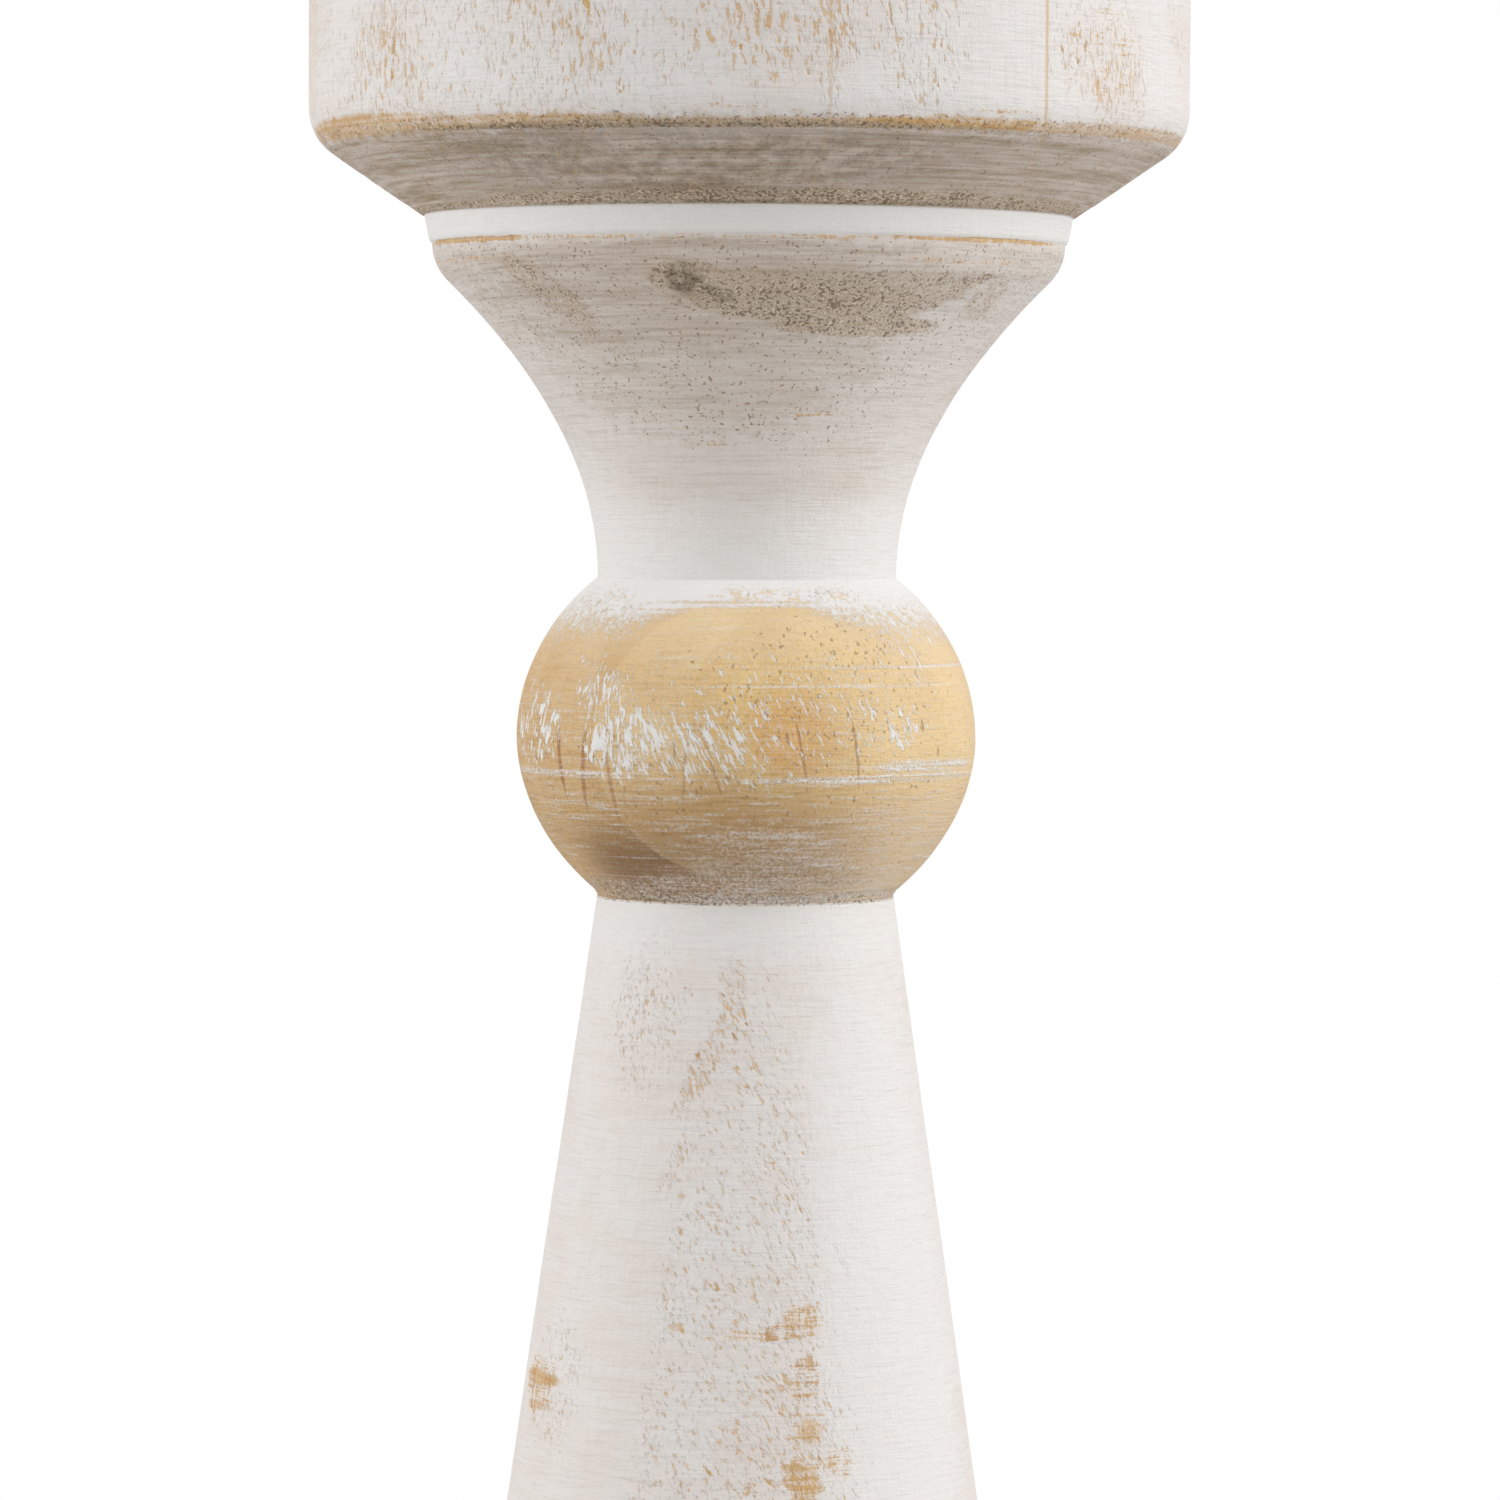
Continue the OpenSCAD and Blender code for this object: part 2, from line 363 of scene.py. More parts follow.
def make_granules():
    """Torn end grain: dark pits and pale crumbs, gathered in clumps."""
    inputs = {"Position": (0, 0, 0), "Size": 0.42, "Amount": 0.5}
    group, t, given, results = new_group("granules", inputs, {"Pits": "Float", "Crumbs": "Float"})
    rate = t.maths("DIVIDE", 1.0, given["Size"])
    first = t.noise(given["Position"], rate, detail=1.5)
    second = t.noise(t.move(given["Position"], (31, 17, 5)), rate, detail=1.0)
    clumps = t.noise(given["Position"], 0.45)
    spare = t.scaled(given["Amount"], 0.1, t.times(clumps, 0.3))
    t.join(t.ease(t.plus(first, spare), 0.78, 0.88), results["Pits"])
    spare = t.scaled(given["Amount"], 0.14, t.times(clumps, 0.15))
    t.join(t.ease(t.plus(second, spare), 0.68, 0.78), results["Crumbs"])
    return group


def make_rings():
    """Growth rings round a pith that stands beside the piece and leans."""
    inputs = {"Position": (0, 0, 0), "Pith": (60.0, 30.0, 0.0), "Lean": (0.05, 0.04, 0.0), "Width": 3.5}
    group, t, given, results = new_group("growth rings", inputs, {"Late wood": "Float", "Fibre": "Float"})
    turned = t.add("VectorRotate", {"Vector": given["Position"], "Rotation": given["Lean"]},
                   rotation_type="EULER_XYZ")
    turned = t.wander(turned, 0.03, 1, 9)
    flat = t.stretch(t.add("VectorMath", {0: turned, 1: given["Pith"]}, operation="SUBTRACT"), (1, 1, 0))
    far = t.add("VectorMath", {0: flat}, output=1, operation="LENGTH")
    ring = t.maths("FRACT", t.maths("DIVIDE", far, given["Width"]))
    t.join(t.maths("POWER", ring, 2.2), results["Late wood"])
    t.join(t.noise(t.stretch(turned, (2.4, 2.4, 0.12)), 1.0, detail=3.0, roughness=0.6), results["Fibre"])
    return group


def make_glue_lines():
    """The joints between the planks of a glued-up blank."""
    inputs = {"Position": (0, 0, 0), "Turned": 10.0, "Plank": 27.5, "Width": 0.3, "Noise": 0.5}
    group, t, given, results = new_group("glue lines", inputs, {"Mask": "Float"})
    angle = t.times(given["Turned"], -TURN / 360)
    turned = t.add("VectorRotate", {"Vector": given["Position"], "Angle": angle}, rotation_type="Z_AXIS")
    x = t.add("SeparateXYZ", {0: turned})
    away = t.maths("PINGPONG", x, t.times(given["Plank"], 0.5))
    wide = t.times(given["Width"], t.plus(given["Noise"], 0.5))
    t.join(t.ease(away, wide, t.times(wide, 0.35)), results["Mask"])
    return group


TURNED_PLACE = make_turned_place()
PATCH = make_patch()
BEYOND = make_beyond()
PORES = make_pores()
CHIPS = make_chips()
SPECKS = make_specks()
STROKES = make_strokes()
GRANULES = make_granules()
RINGS = make_rings()
GLUE_LINES = make_glue_lines()


# ---------------------------------------------------------------- materials

PAINT = tone(236, 232, 229)
PAINT_CLEAN = tone(240, 238, 236)
PAINT_PINK = tone(229, 213, 203)
PAINT_GREY = tone(206, 201, 195)
PAINT_THIN = tone(192, 174, 157)
PAINT_WORN = tone(170, 149, 124)
WOOD_OLIVE = tone(160, 138, 106)
WOOD_PALE = tone(241, 211, 160)
# Painted light: a pale cream for the lit right side and top of the ball.
WOOD_LIT_CREAM = tone(250, 224, 182)
WOOD_GOLD = tone(216, 174, 110)
WOOD_YELLOW = tone(244, 206, 132)
WOOD_ORANGE = tone(222, 156, 76)
# Painted shade: a darker wood for the shaded lower front of the ball.
WOOD_SHADOWED = tone(184, 144, 92)
WOOD_OCHRE = tone(196, 148, 84)
WOOD_BROWN = tone(150, 112, 70)
WOOD_DARK = tone(96, 78, 52)
WOOD_UMBER = tone(116, 82, 44)
WOOD_SPLIT = tone(158, 98, 48)
TICK = tone(216, 176, 121)
CRUMB = tone(230, 212, 188)
TORN = tone(200, 174, 142)
PIT = tone(124, 92, 62)

ALL_ROUND = 100000
# Marks are listed by kind. Each has an angle and a height, half its width in degrees and half its
# height, a strength and, where it leans, a lean.
# The dark kind also carries painted shade.
# The thick kind also carries painted light.
KINDS = ("pores", "specks", "bare", "rubbed", "thin", "rough", "thick_and_lit", "dark", "glue")


def new_material(name):
    material = bpy.data.materials.new(name)
    material.use_nodes = True
    shader = material.node_tree.nodes["Principled BSDF"]
    return material, Tree(material.node_tree), shader


def turned_material(name):
    """A new material, and where each point of it is on the turning."""
    material, t, shader = new_material(name)
    place = t.use(TURNED_PLACE, Vector=t.add("TexCoord", {}, output=3))
    return material, t, shader, place


def finish_shader(t, shader, colour, roughness, height, strength=1.0):
    """Joins a colour, a roughness and a relief in millimetres to a shader."""
    t.join(colour, shader.inputs["Base Color"])
    t.join(roughness, shader.inputs["Roughness"])
    bump = t.add("Bump", {"Strength": strength, "Distance": MM, "Height": height})
    t.join(bump, shader.inputs["Normal"])


def skin_patterns(t, position):
    """The patterns that all turned wood here has: ragged edges, grit and strokes round the axis."""
    ragged = t.noise(position, 0.55, detail=4.0, roughness=0.62)
    grit = t.noise(position, 2.6, detail=3.0, roughness=0.7)
    return ragged, grit, t.use(STROKES, Position=position)


def patch(t, place, noise, angle, height, half_angle, half_height, lean=0, ragged=1.1):
    """The mask of one ragged oval."""
    return t.use(PATCH, Angle=place["Angle"], Height=place["Height"], At_angle=angle, At_height=height,
                 Half_angle=half_angle, Half_height=half_height, Lean=lean, Ragged=ragged,
                 Noise=noise)["Mask"]


def patches(t, place, noise, features):
    """One mask for each kind of mark, the strongest patch winning where two meet."""
    masks = {}
    for kind in KINDS:
        masks[kind] = 0.0
        for angle, height, half_angle, half_height, strength, *lean in features.get(kind, ()):
            mask = patch(t, place, noise, angle, height, half_angle, half_height, *lean)
            masks[kind] = t.most(masks[kind], t.times(mask, strength))
    return masks


def torn_grain(t, position, colour, amount, strength, share, pit_share):
    """Lays torn end grain over a colour. Gives back the new colour and the relief of crumbs and pits."""
    torn = t.use(GRANULES, Position=position, Amount=amount)
    pits = t.times(torn["Pits"], strength)
    crumbs = t.times(torn["Crumbs"], strength)
    colour = t.coats(colour, (t.times(strength, share), TORN), (t.times(crumbs, 0.8), CRUMB),
                     (t.times(pits, pit_share), PIT))
    return colour, t.less(crumbs, pits)


def whitewashed(name, features, pith, pore_lean=0.1, pore_base=0.0, planks=None, layers=(), chip=(0.6, 1.9)):
    """Wood under brushed whitewash, with the marks that one piece has.

    Layers are growth layers that carry marks: the way one faces, its distance from the axis at a level, its
    lean, the kind and strength of its marks, and the height where they end over a fade.
    """
    material, t, shader, place = turned_material(name)
    position = place["Position"]
    ragged, grit, strokes = skin_patterns(t, position)
    clouds = t.noise(position, 0.06)
    rings = t.use(RINGS, Position=position, Pith=pith)
    fibre = t.noise(t.stretch(t.move(position, (3, 9, 2)), (1.5, 1.5, 0.1)), 1.0, detail=3.0, roughness=0.65)
    marks = patches(t, place, ragged, features)
    for facing, distance, level, lean, kind, strength, top, fade in layers:
        beyond = t.use(BEYOND, Position=position, Facing=facing, Distance=distance, Level=level,
                       Lean=lean, Soft=2.0, Noise=ragged)["Mask"]
        beyond = t.times(beyond, strength, t.ease(place["Height"], top + fade, top))
        marks[kind] = t.most(marks[kind], beyond)
    kept = t.less(1.0, marks["thick_and_lit"])

    wood = t.mix(rings["Late wood"], WOOD_GOLD, WOOD_OCHRE)
    wood = t.mix(t.ease(rings["Fibre"], 0.45, 0.75, 0, 0.45), wood, WOOD_BROWN)

    haze = t.times(t.ease(clouds, 0.38, 0.66, 0.05, 0.5), t.ease(strokes["Broad"], 0.35, 0.65, 0.3), kept)
    under = t.mix(t.ease(strokes["Broad"], 0.4, 0.62), PAINT_THIN, PAINT_WORN)
    dry = t.scaled(strokes["Fine"], 0.7, t.times(grit, 0.3))
    paint = t.coats(
        PAINT,
        (haze, PAINT_PINK),
        (t.ease(strokes["Fine"], 0.5, 0.3, 0, 0.28), PAINT_GREY),
        (t.ease(fibre, 0.52, 0.35, 0, 0.2), PAINT_PINK),
        (t.times(marks["thin"], t.ease(dry, 0.62, 0.38, 0.6)), under),
        (t.times(marks["thin"], t.ease(strokes["Long"], 0.5, 0.66, 0, 0.5)), PAINT_PINK),
        (t.times(marks["thin"], t.ease(strokes["Long"], 0.46, 0.34, 0, 0.35)), WOOD_OLIVE),
        # Thick paint in clean white, which on the stem also stands for painted light.
        (marks["thick_and_lit"], PAINT_CLEAN))

    chance = t.plus(marks["pores"], t.times(t.ease(clouds, 0.42, 0.62), pore_base))
    chance = t.times(chance, kept)
    across, along = chip
    chips = t.use(CHIPS, Position=position, Lean=pore_lean, Amount=t.times(chance, 0.8),
                  Across=across, Along=along)
    small = t.use(CHIPS, Position=t.move(position, (40, 3, 11)), Lean=pore_lean, Amount=chance,
                  Across=across * 0.5, Along=along * 0.5)
    depth = t.ease(t.plus(ragged, t.times(marks["pores"], 0.08)), 0.42, 0.7, 0.4, 1)
    colour = t.mix(t.times(small["Mask"], 0.75), paint, TICK)
    colour = t.mix(t.times(chips["Mask"], depth), colour, t.mix(depth, TICK, wood))

    worn = t.scaled(strokes["Fine"], 0.5, t.times(fibre, 0.35))
    worn = t.plus(worn, t.times(grit, 0.3))
    worn = t.plus(worn, t.scaled(marks["bare"], 0.25, -0.8))
    gone = t.times(t.ease(worn, -0.05, 0.07), t.ease(marks["bare"], 0.03, 0.3))
    colour = t.mix(t.times(gone, 0.85), colour, wood)

    rubbed = t.scaled(strokes["Long"], 0.5, t.times(grit, 0.5))
    rubbed = t.times(marks["rubbed"], t.ease(rubbed, 0.38, 0.56, 0.3, 1))
    colour = t.mix(rubbed, colour, wood)

    specks = t.use(SPECKS, Position=position, Amount=t.times(marks["specks"], kept))["Mask"]
    specks = t.times(specks, t.ease(marks["specks"], 0.03, 0.2))
    colour = t.mix(t.times(specks, 0.7), colour, WOOD_BROWN)

    rough = t.ease(t.plus(marks["rough"], t.times(ragged, 0.8)), 0.6, 1)
    rough = t.times(rough, t.ease(marks["rough"], 0.05, 0.3))
    colour, torn = torn_grain(t, position, colour, marks["rough"], rough, 0.45, 0.7)
    # Dark marks: the dirty blotch on the neck, the dark lines under the cup's arris, and painted shade on
    # the cup's chamfer.
    dirt_and_shade = t.times(marks["dark"], t.ease(ragged, 0.35, 0.65, 0.2, 1))
    colour = t.mix(dirt_and_shade, colour, WOOD_DARK)

    height = t.scaled(strokes["Fine"], 0.16, t.times(ragged, 0.16))
    height = t.scaled(fibre, 0.08, height)
    height = t.scaled(grit, 0.08, height)
    height = t.less(height, t.times(t.plus(chips["Relief"], small["Relief"]), 0.07))
    height = t.less(height, t.times(t.most(gone, specks), 0.05))
    height = t.scaled(torn, 0.16, height)
    if planks:
        turned, plank = planks
        line = t.use(GLUE_LINES, Position=position, Turned=turned, Plank=plank, Noise=ragged)["Mask"]
        line = t.times(line, t.scaled(marks["glue"], 0.8, 0.12))
        colour = t.mix(line, colour, TICK)
        height = t.less(height, t.times(line, 0.06))

    finish_shader(t, shader, colour, t.scaled(ragged, 0.25, 0.58), height)
    return material


def bare_ball():
    """Golden bare wood, left with a cap of paint on top, flecks in the pores and level scratches."""
    material, t, shader, place = turned_material("bare_ball_wood")
    position = place["Position"]
    angle = place["Angle"]
    level = place["Height"]
    ragged, grit, strokes = skin_patterns(t, position)
    clouds = t.noise(position, 0.1)
    rings = t.use(RINGS, Position=position, Pith=(60.0, -140.0, 0.0), Width=11.0)
    front = t.use(BEYOND, Position=position, Facing=1.0, Distance=21.5, Soft=0.35, Noise=ragged)["Mask"]
    left = t.times(t.ease(angle, 5, -25), t.ease(angle, -175, -125))
    outside = t.times(t.less(1.0, front), left)
    right = t.use(BEYOND, Position=position, Facing=70.0, Distance=19.5, Level=190.0, Lean=-0.35,
                  Soft=0.5, Noise=ragged)["Edge"]
    features = {
        "pores": [
            (-31, 198, 13, 4.2, 0.95), (-38, 203, 10, 5.5, 0.7, -1.2), (-16, 197.6, 20, 4, 0.8),
            (-2, 198.5, 20, 5.5, 0.4), (-66, 200, 15, 5.5, 0.85), (25, 203, 40, 7.5, 0.26),
            (42, 200, 7, 2.6, 0.75), (50, 209, 13, 5, 0.55, 1), (150, 200, 40, 6, 0.95),
            (-130, 203, 25, 5, 0.8),
        ],
        "thin": [
            (40, 193.6, 40, 0.5, 1), (55, 195, 22, 0.9, 0.9), (45, 207.3, 45, 0.22, 0.75),
            (25, 205, 40, 0.22, 0.5), (-60, 194, 28, 0.5, 0.8), (-170, 194, 60, 0.7, 0.9),
            (20, BALL_LOW + 0.5, 70, 0.6, 0.9),
        ],
        "bare": [
            (7, 185, 20, 3.4, 0.75), (25, 182, 42, 2.4, 0.8), (48, 186, 28, 5, 0.55),
            (170, 185, 90, 4, 0.9), (14, BALL_LOW + 1.6, 56, 2.2, 1.2),
        ],
        "rough": [
            (0, BALL_LOW + 0.6, ALL_ROUND, 1, 0.6), (-50, BALL_LOW + 1.2, 40, 1.6, 0.8),
            (5, BALL_LOW + 2.6, 40, 3, 0.5),
        ],
        "specks": [
            (22, 205, 40, 9, 0.6), (15, BALL_TOP - 1.6, 28, 1.2, 0.7), (-60, BALL_TOP - 2, 20, 2, 0.5),
            (0, 190, ALL_ROUND, 12, 0.45),
        ],
        "dark": [
            (-53, 195, 0.7, 4.5, 0.8), (-44.5, 194.5, 0.7, 5, 0.75, 0.3),
            (-36, 193.5, 0.6, 5.5, 0.6, -0.1), (-15, 195, 0.4, 4, 0.45, 0.2),
            (-8, 195, 0.4, 3.5, 0.45, -0.6), (13.5, 197.5, 0.4, 4.2, 0.6, -0.4),
            (28, 197, 0.4, 4.2, 0.6, -0.3), (170, 195, 0.8, 5, 0.7, 0.3),
        ],
    }
    marks = patches(t, place, ragged, features)

    warm = patch(t, place, clouds, 32, 200, 48, 9, ragged=0.8)
    glow = patch(t, place, ragged, 12, 199, 11, 5, ragged=0.8)
    # Painted shade: the front of the ball is darkened towards the bottom, less at the sides, and turned
    # olive lower still, where less light falls.
    shade_front = t.ease(t.maths("ABSOLUTE", t.plus(angle, 4)), 62, 20, 0.35)
    olive_shade = t.times(shade_front, t.ease(outside, 0, 1, 1, 0.2), t.ease(level, 189, 183, 0, 0.6))
    corner = t.times(outside, t.ease(level, 190, 183), t.ease(angle, -66, -40))
    grain = t.scaled(strokes["Fine"], 0.6, t.times(grit, 0.4))
    # Painted light: the right side, where the light falls, and the top are painted paler cream; on the lower
    # right this also stands for a pale dusty film.
    lit_right_side = t.times(t.ease(angle, 0, 55), t.ease(angle, 175, 110), 0.42)
    wood = t.coats(
        WOOD_PALE,
        (t.times(rings["Late wood"], 0.35), WOOD_GOLD),
        (t.times(warm, 0.6), WOOD_YELLOW),
        (t.times(glow, 0.5), WOOD_ORANGE),
        (t.ease(clouds, 0.38, 0.66, 0, 0.35), WOOD_GOLD),
        (t.times(outside, 0.4), WOOD_OCHRE),
        (t.times(shade_front, t.ease(level, 198, 186, 0, 0.9)), WOOD_SHADOWED),
        (olive_shade, WOOD_OLIVE),
        (t.times(corner, 0.8), WOOD_UMBER),
        (t.times(right, t.ease(level, 195, 188), 0.25), WOOD_BROWN),
        (t.times(t.ease(grain, 0.52, 0.38), t.ease(level, 204, 190, 0.25, 0.42)), WOOD_BROWN),
        (t.ease(rings["Fibre"], 0.45, 0.8, 0, 0.3), WOOD_OCHRE),
        (t.most(lit_right_side, t.ease(level, 205, 213, 0, 0.45)), WOOD_LIT_CREAM))
    specks = t.use(SPECKS, Position=t.stretch(position, (1, 1, 0.6)), Amount=marks["specks"])["Mask"]
    belt = t.times(t.ease(t.maths("ABSOLUTE", t.less(level, 196)), 7, 4), 0.4)
    cracks = t.use(PORES, Position=position, Lean=0.1, Across=1.9, Along=7.5, Size=0.17, Amount=belt)["Mask"]
    split = t.times(marks["dark"], t.ease(grit, 0.3, 0.5, 0.4))
    wood = t.coats(wood, (t.times(t.most(specks, cracks), 0.6), WOOD_BROWN), (split, WOOD_SPLIT))

    dashes = t.times(t.ease(grain, 0.52, 0.64), t.ease(level, 210, 186, 0.3, 0.6),
                     t.ease(corner, 0, 0.7, 1, 0.35))
    longer = t.times(t.ease(strokes["Long"], 0.56, 0.7), t.ease(grit, 0.4, 0.6, 0.2, 0.9), 0.5)
    lines = t.times(marks["thin"], t.ease(t.plus(strokes["Long"], grit), 0.85, 1.12, 0.1))
    film = t.scaled(strokes["Fine"], 0.4, t.times(grit, 0.6))
    film = t.times(marks["bare"], t.ease(film, 0.45, 0.58, 0.05, 0.8))
    slant = t.ease(angle, -55, -15, -0.35, 0.5)
    fan = patch(t, place, ragged, -5, 201, 50, 9, ragged=1.2)
    flecks = t.use(CHIPS, Position=position, Lean=slant, Level=196.0, Amount=marks["pores"], Across=0.42,
                   Along=2.3)
    fine_flecks = t.use(CHIPS, Position=t.move(position, (5, 60, 0)), Lean=slant, Level=196.0, Across=0.26,
                        Along=1.5, Amount=t.scaled(marks["pores"], 0.6, t.times(fan, 0.45)))
    comb = t.noise(t.stretch(position, (1.6, 1.6, 0.25)), 1.0, detail=3.0, roughness=0.7)
    sides = t.ease(t.maths("ABSOLUTE", angle), 15, 45)
    edge = t.mix(sides, strokes["Long"], comb)
    edge = t.scaled(grit, 0.4, t.times(edge, 0.6))
    reach = t.scaled(sides, -2.0, BALL_TOP - 3.0)
    inside = t.maths("DIVIDE", t.less(level, reach), t.scaled(sides, 4.0, 1.2))
    cap = t.ease(t.plus(inside, t.times(edge, 5)), 1.9, 2.9)
    holes = t.use(SPECKS, Position=position, Size=0.45, Amount=t.times(marks["specks"], 1.6))["Mask"]
    holes = t.times(holes, t.ease(level, BALL_TOP - 0.6, BALL_TOP - 1.6), 0.6)
    cap = t.times(cap, t.less(1.0, holes))
    white = t.most(dashes, longer, lines, flecks["Mask"], t.times(fine_flecks["Mask"], 0.8), cap)
    colour = t.mix(white, t.mix(film, wood, PAINT_PINK), PAINT_CLEAN)
    colour, torn = torn_grain(t, position, colour, marks["rough"], marks["rough"], 0.35, 0.8)

    height = t.scaled(torn, 0.16, t.scaled(grain, 0.3, t.times(white, 0.08)))
    height = t.less(height, t.times(t.most(specks, cracks, split), 0.08))
    finish_shader(t, shader, colour, t.scaled(white, 0.15, 0.5), height)
    return material


def plain_metal(name, colour, worn_colour, roughness, metallic):
    """Metal with fine grinding marks, blotches and lighter worn spots."""
    material, t, shader, place = turned_material(name)
    blotches = t.noise(place["Position"], 0.3, detail=5.0, roughness=0.7)
    marks = t.use(STROKES, Position=place["Position"], Fineness=0.25)["Fine"]
    shade = t.mix(t.ease(blotches, 0.4, 0.8, 0, 0.6), colour, worn_colour)
    sheen = t.ease(t.plus(blotches, marks), 0.6, 1.4, roughness - 0.12, roughness + 0.15)
    finish_shader(t, shader, shade, sheen, t.scaled(marks, 0.02, t.times(blotches, 0.08)), 0.5)
    shader.inputs["Metallic"].default_value = metallic
    return material


def plain_dowel():
    """Sanded beech with its small dark flecks."""
    material, t, shader, place = turned_material("beech")
    rings = t.use(RINGS, Position=place["Position"], Width=2.5)
    flecks = t.use(PORES, Position=place["Position"], Across=0.8, Along=3.0, Amount=0.5)["Mask"]
    colour = t.mix(t.times(rings["Fibre"], 0.6), tone(214, 182, 136), tone(188, 148, 100))
    t.join(t.mix(t.times(flecks, 0.6), colour, WOOD_BROWN), shader.inputs["Base Color"])
    t.join(t.scaled(rings["Fibre"], 0.2, 0.5), shader.inputs["Roughness"])
    return material


def pressed_felt():
    """Brown pressed felt: matted hairs in two shades."""
    material, t, shader, place = turned_material("felt")
    hairs = t.noise(t.stretch(place["Position"], (1.0, 1.0, 2.0)), 2.6, detail=5.0, roughness=0.75,
                    distortion=1.6)
    colour = t.mix(t.ease(hairs, 0.35, 0.65), tone(86, 66, 48), tone(142, 118, 92))
    finish_shader(t, shader, colour, t.ease(hairs, 0.3, 0.7, 0.85), t.times(hairs, 0.5))
    shader.inputs["Sheen Weight"].default_value = 0.4
    return material


# ---------------------------------------------------------------- modelling

def rounded(before, corner, after, radius, steps=8):
    """Points of the arc that rounds an outline's corner between its two neighbours."""
    before, corner, after = Vector(before), Vector(corner), Vector(after)
    u = (before - corner).normalized()
    v = (after - corner).normalized()
    half = u.angle(v) / 2
    centre = corner + (u + v).normalized() * radius / math.sin(half)
    start = corner + u * radius / math.tan(half) - centre
    sweep = start.angle_signed(corner + v * radius / math.tan(half) - centre)
    points = []
    for i in range(steps + 1):
        angle = math.atan2(start.y, start.x) - sweep * i / steps
        points.append(centre + radius * Vector((math.cos(angle), math.sin(angle))))
    return points


def fine(outline, step):
    """The same outline with points at most a step apart."""
    points = [Vector(outline[0])]
    for a, b in zip(outline, outline[1:]):
        a, b = Vector(a), Vector(b)
        parts = max(1, math.ceil((b - a).length / step))
        for i in range(1, parts + 1):
            points.append(a.lerp(b, i / parts))
    return points


def edit_all():
    """Opens the active mesh for editing, with all of it selected."""
    bpy.ops.object.mode_set(mode="EDIT")
    bpy.ops.mesh.select_all(action="SELECT")


def select_only(piece):
    bpy.ops.object.select_all(action="DESELECT")
    bpy.context.view_layer.objects.active = piece
    piece.select_set(True)


def turned_piece(name, outline, steps, closed=False):
    """Draws an outline of (radius, height) points and spins it about the axis in a number of steps."""
    bpy.ops.object.select_all(action="DESELECT")
    bpy.ops.mesh.primitive_plane_add(size=MM)
    piece = bpy.context.object
    piece.name = name
    piece.data.name = name
    points = [Vector((r, 0, z)) * MM for r, z in outline]
    if closed:
        points.append(points[0])
    edit_all()
    bpy.ops.mesh.merge(type="CENTER")
    bpy.ops.transform.translate(value=points[0])
    for here, there in zip(points, points[1:]):
        bpy.ops.mesh.extrude_region_move(TRANSFORM_OT_translate={"value": there - here})
    bpy.ops.object.mode_set(mode="OBJECT")
    lathe = piece.modifiers.new("lathe", "SCREW")
    lathe.axis = "Z"
    lathe.steps = lathe.render_steps = steps
    lathe.use_merge_vertices = True
    lathe.merge_threshold = MERGE
    bpy.ops.object.modifier_apply(modifier=lathe.name)
    edit_all()
    bpy.ops.mesh.remove_doubles(threshold=MERGE)
    bpy.ops.mesh.normals_make_consistent(inside=False)
    bpy.ops.object.mode_set(mode="OBJECT")
    return piece


def uneven(piece, *layers):
    """Moves the marked skin in and out by cloud patterns, each with a size, a depth and a stretch up."""
    for size, depth, tall in layers:
        guide = bpy.data.objects.new("guide", None)
        guide.scale = (1, 1, tall)
        bpy.context.scene.collection.objects.link(guide)
        pattern = bpy.data.textures.new("uneven", "CLOUDS")
        pattern.noise_scale = size * MM
        pattern.noise_depth = 2
        modifier = piece.modifiers.new("uneven", "DISPLACE")
        modifier.texture = pattern
        modifier.texture_coords = "OBJECT"
        modifier.texture_coords_object = guide
        modifier.strength = depth * MM
        modifier.mid_level = 0.5
        modifier.vertex_group = "skin"
        bpy.context.view_layer.objects.active = piece
        bpy.ops.object.modifier_apply(modifier=modifier.name)
        bpy.data.objects.remove(guide)
        bpy.data.textures.remove(pattern)


def mark_skin(piece, low, high, least_radius):
    """A vertex group of the skin that shows, between two heights and outside a radius."""
    group = piece.vertex_groups.new(name="skin")
    shown = []
    for vertex in piece.data.vertices:
        x, y, z = vertex.co / MM
        if low < z < high and math.hypot(x, y) > least_radius:
            shown.append(vertex.index)
    group.add(shown, 1.0, "REPLACE")


def cut_plank(blank, name, number, radius, turn):
    """Copies a blank and cuts it down to one of its planks."""
    piece = blank.copy()
    piece.data = blank.data.copy()
    piece.name = name
    piece.data.name = name
    bpy.context.scene.collection.objects.link(piece)
    select_only(piece)
    across = Vector((math.cos(math.radians(turn)), math.sin(math.radians(turn)), 0))
    plank = 2 * radius / PLANKS
    edit_all()
    # The cut is made a thousand times larger, because its filling drops very short edges.
    bpy.ops.transform.resize(value=(1 / MM, 1 / MM, 1 / MM), center_override=(0, 0, 0))
    for joint, side in ((number, 1), (number + 1, -1)):
        if joint in (0, PLANKS):
            continue
        bpy.ops.mesh.select_all(action="SELECT")
        place = across * (joint * plank - radius)
        bpy.ops.mesh.bisect(plane_co=place, plane_no=across * side, use_fill=True, clear_inner=True)
    bpy.ops.mesh.select_all(action="SELECT")
    bpy.ops.transform.resize(value=(MM, MM, MM), center_override=(0, 0, 0))
    bpy.ops.object.mode_set(mode="OBJECT")
    return piece


def cut_planks(blank, name, radius, turn, material):
    """Cuts a blank into its planks and finishes each one."""
    for number in range(PLANKS):
        piece = cut_plank(blank, f"{name}_plank_{number + 1}", number, radius, turn)
        finish_piece(piece, material, "limewashed_wood", f"{name}_stave_{number + 1}")
    bpy.data.objects.remove(blank)


def finish_piece(piece, material, slot, *nodes, sharp=35):
    """Smooths the shading, gives the material and puts the piece on its body."""
    piece.vertex_groups.clear()
    select_only(piece)
    bpy.ops.object.shade_smooth_by_angle(angle=math.radians(sharp))
    piece.data.materials.clear()
    piece.data.materials.append(material)
    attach(piece, "root")
    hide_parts(*nodes)


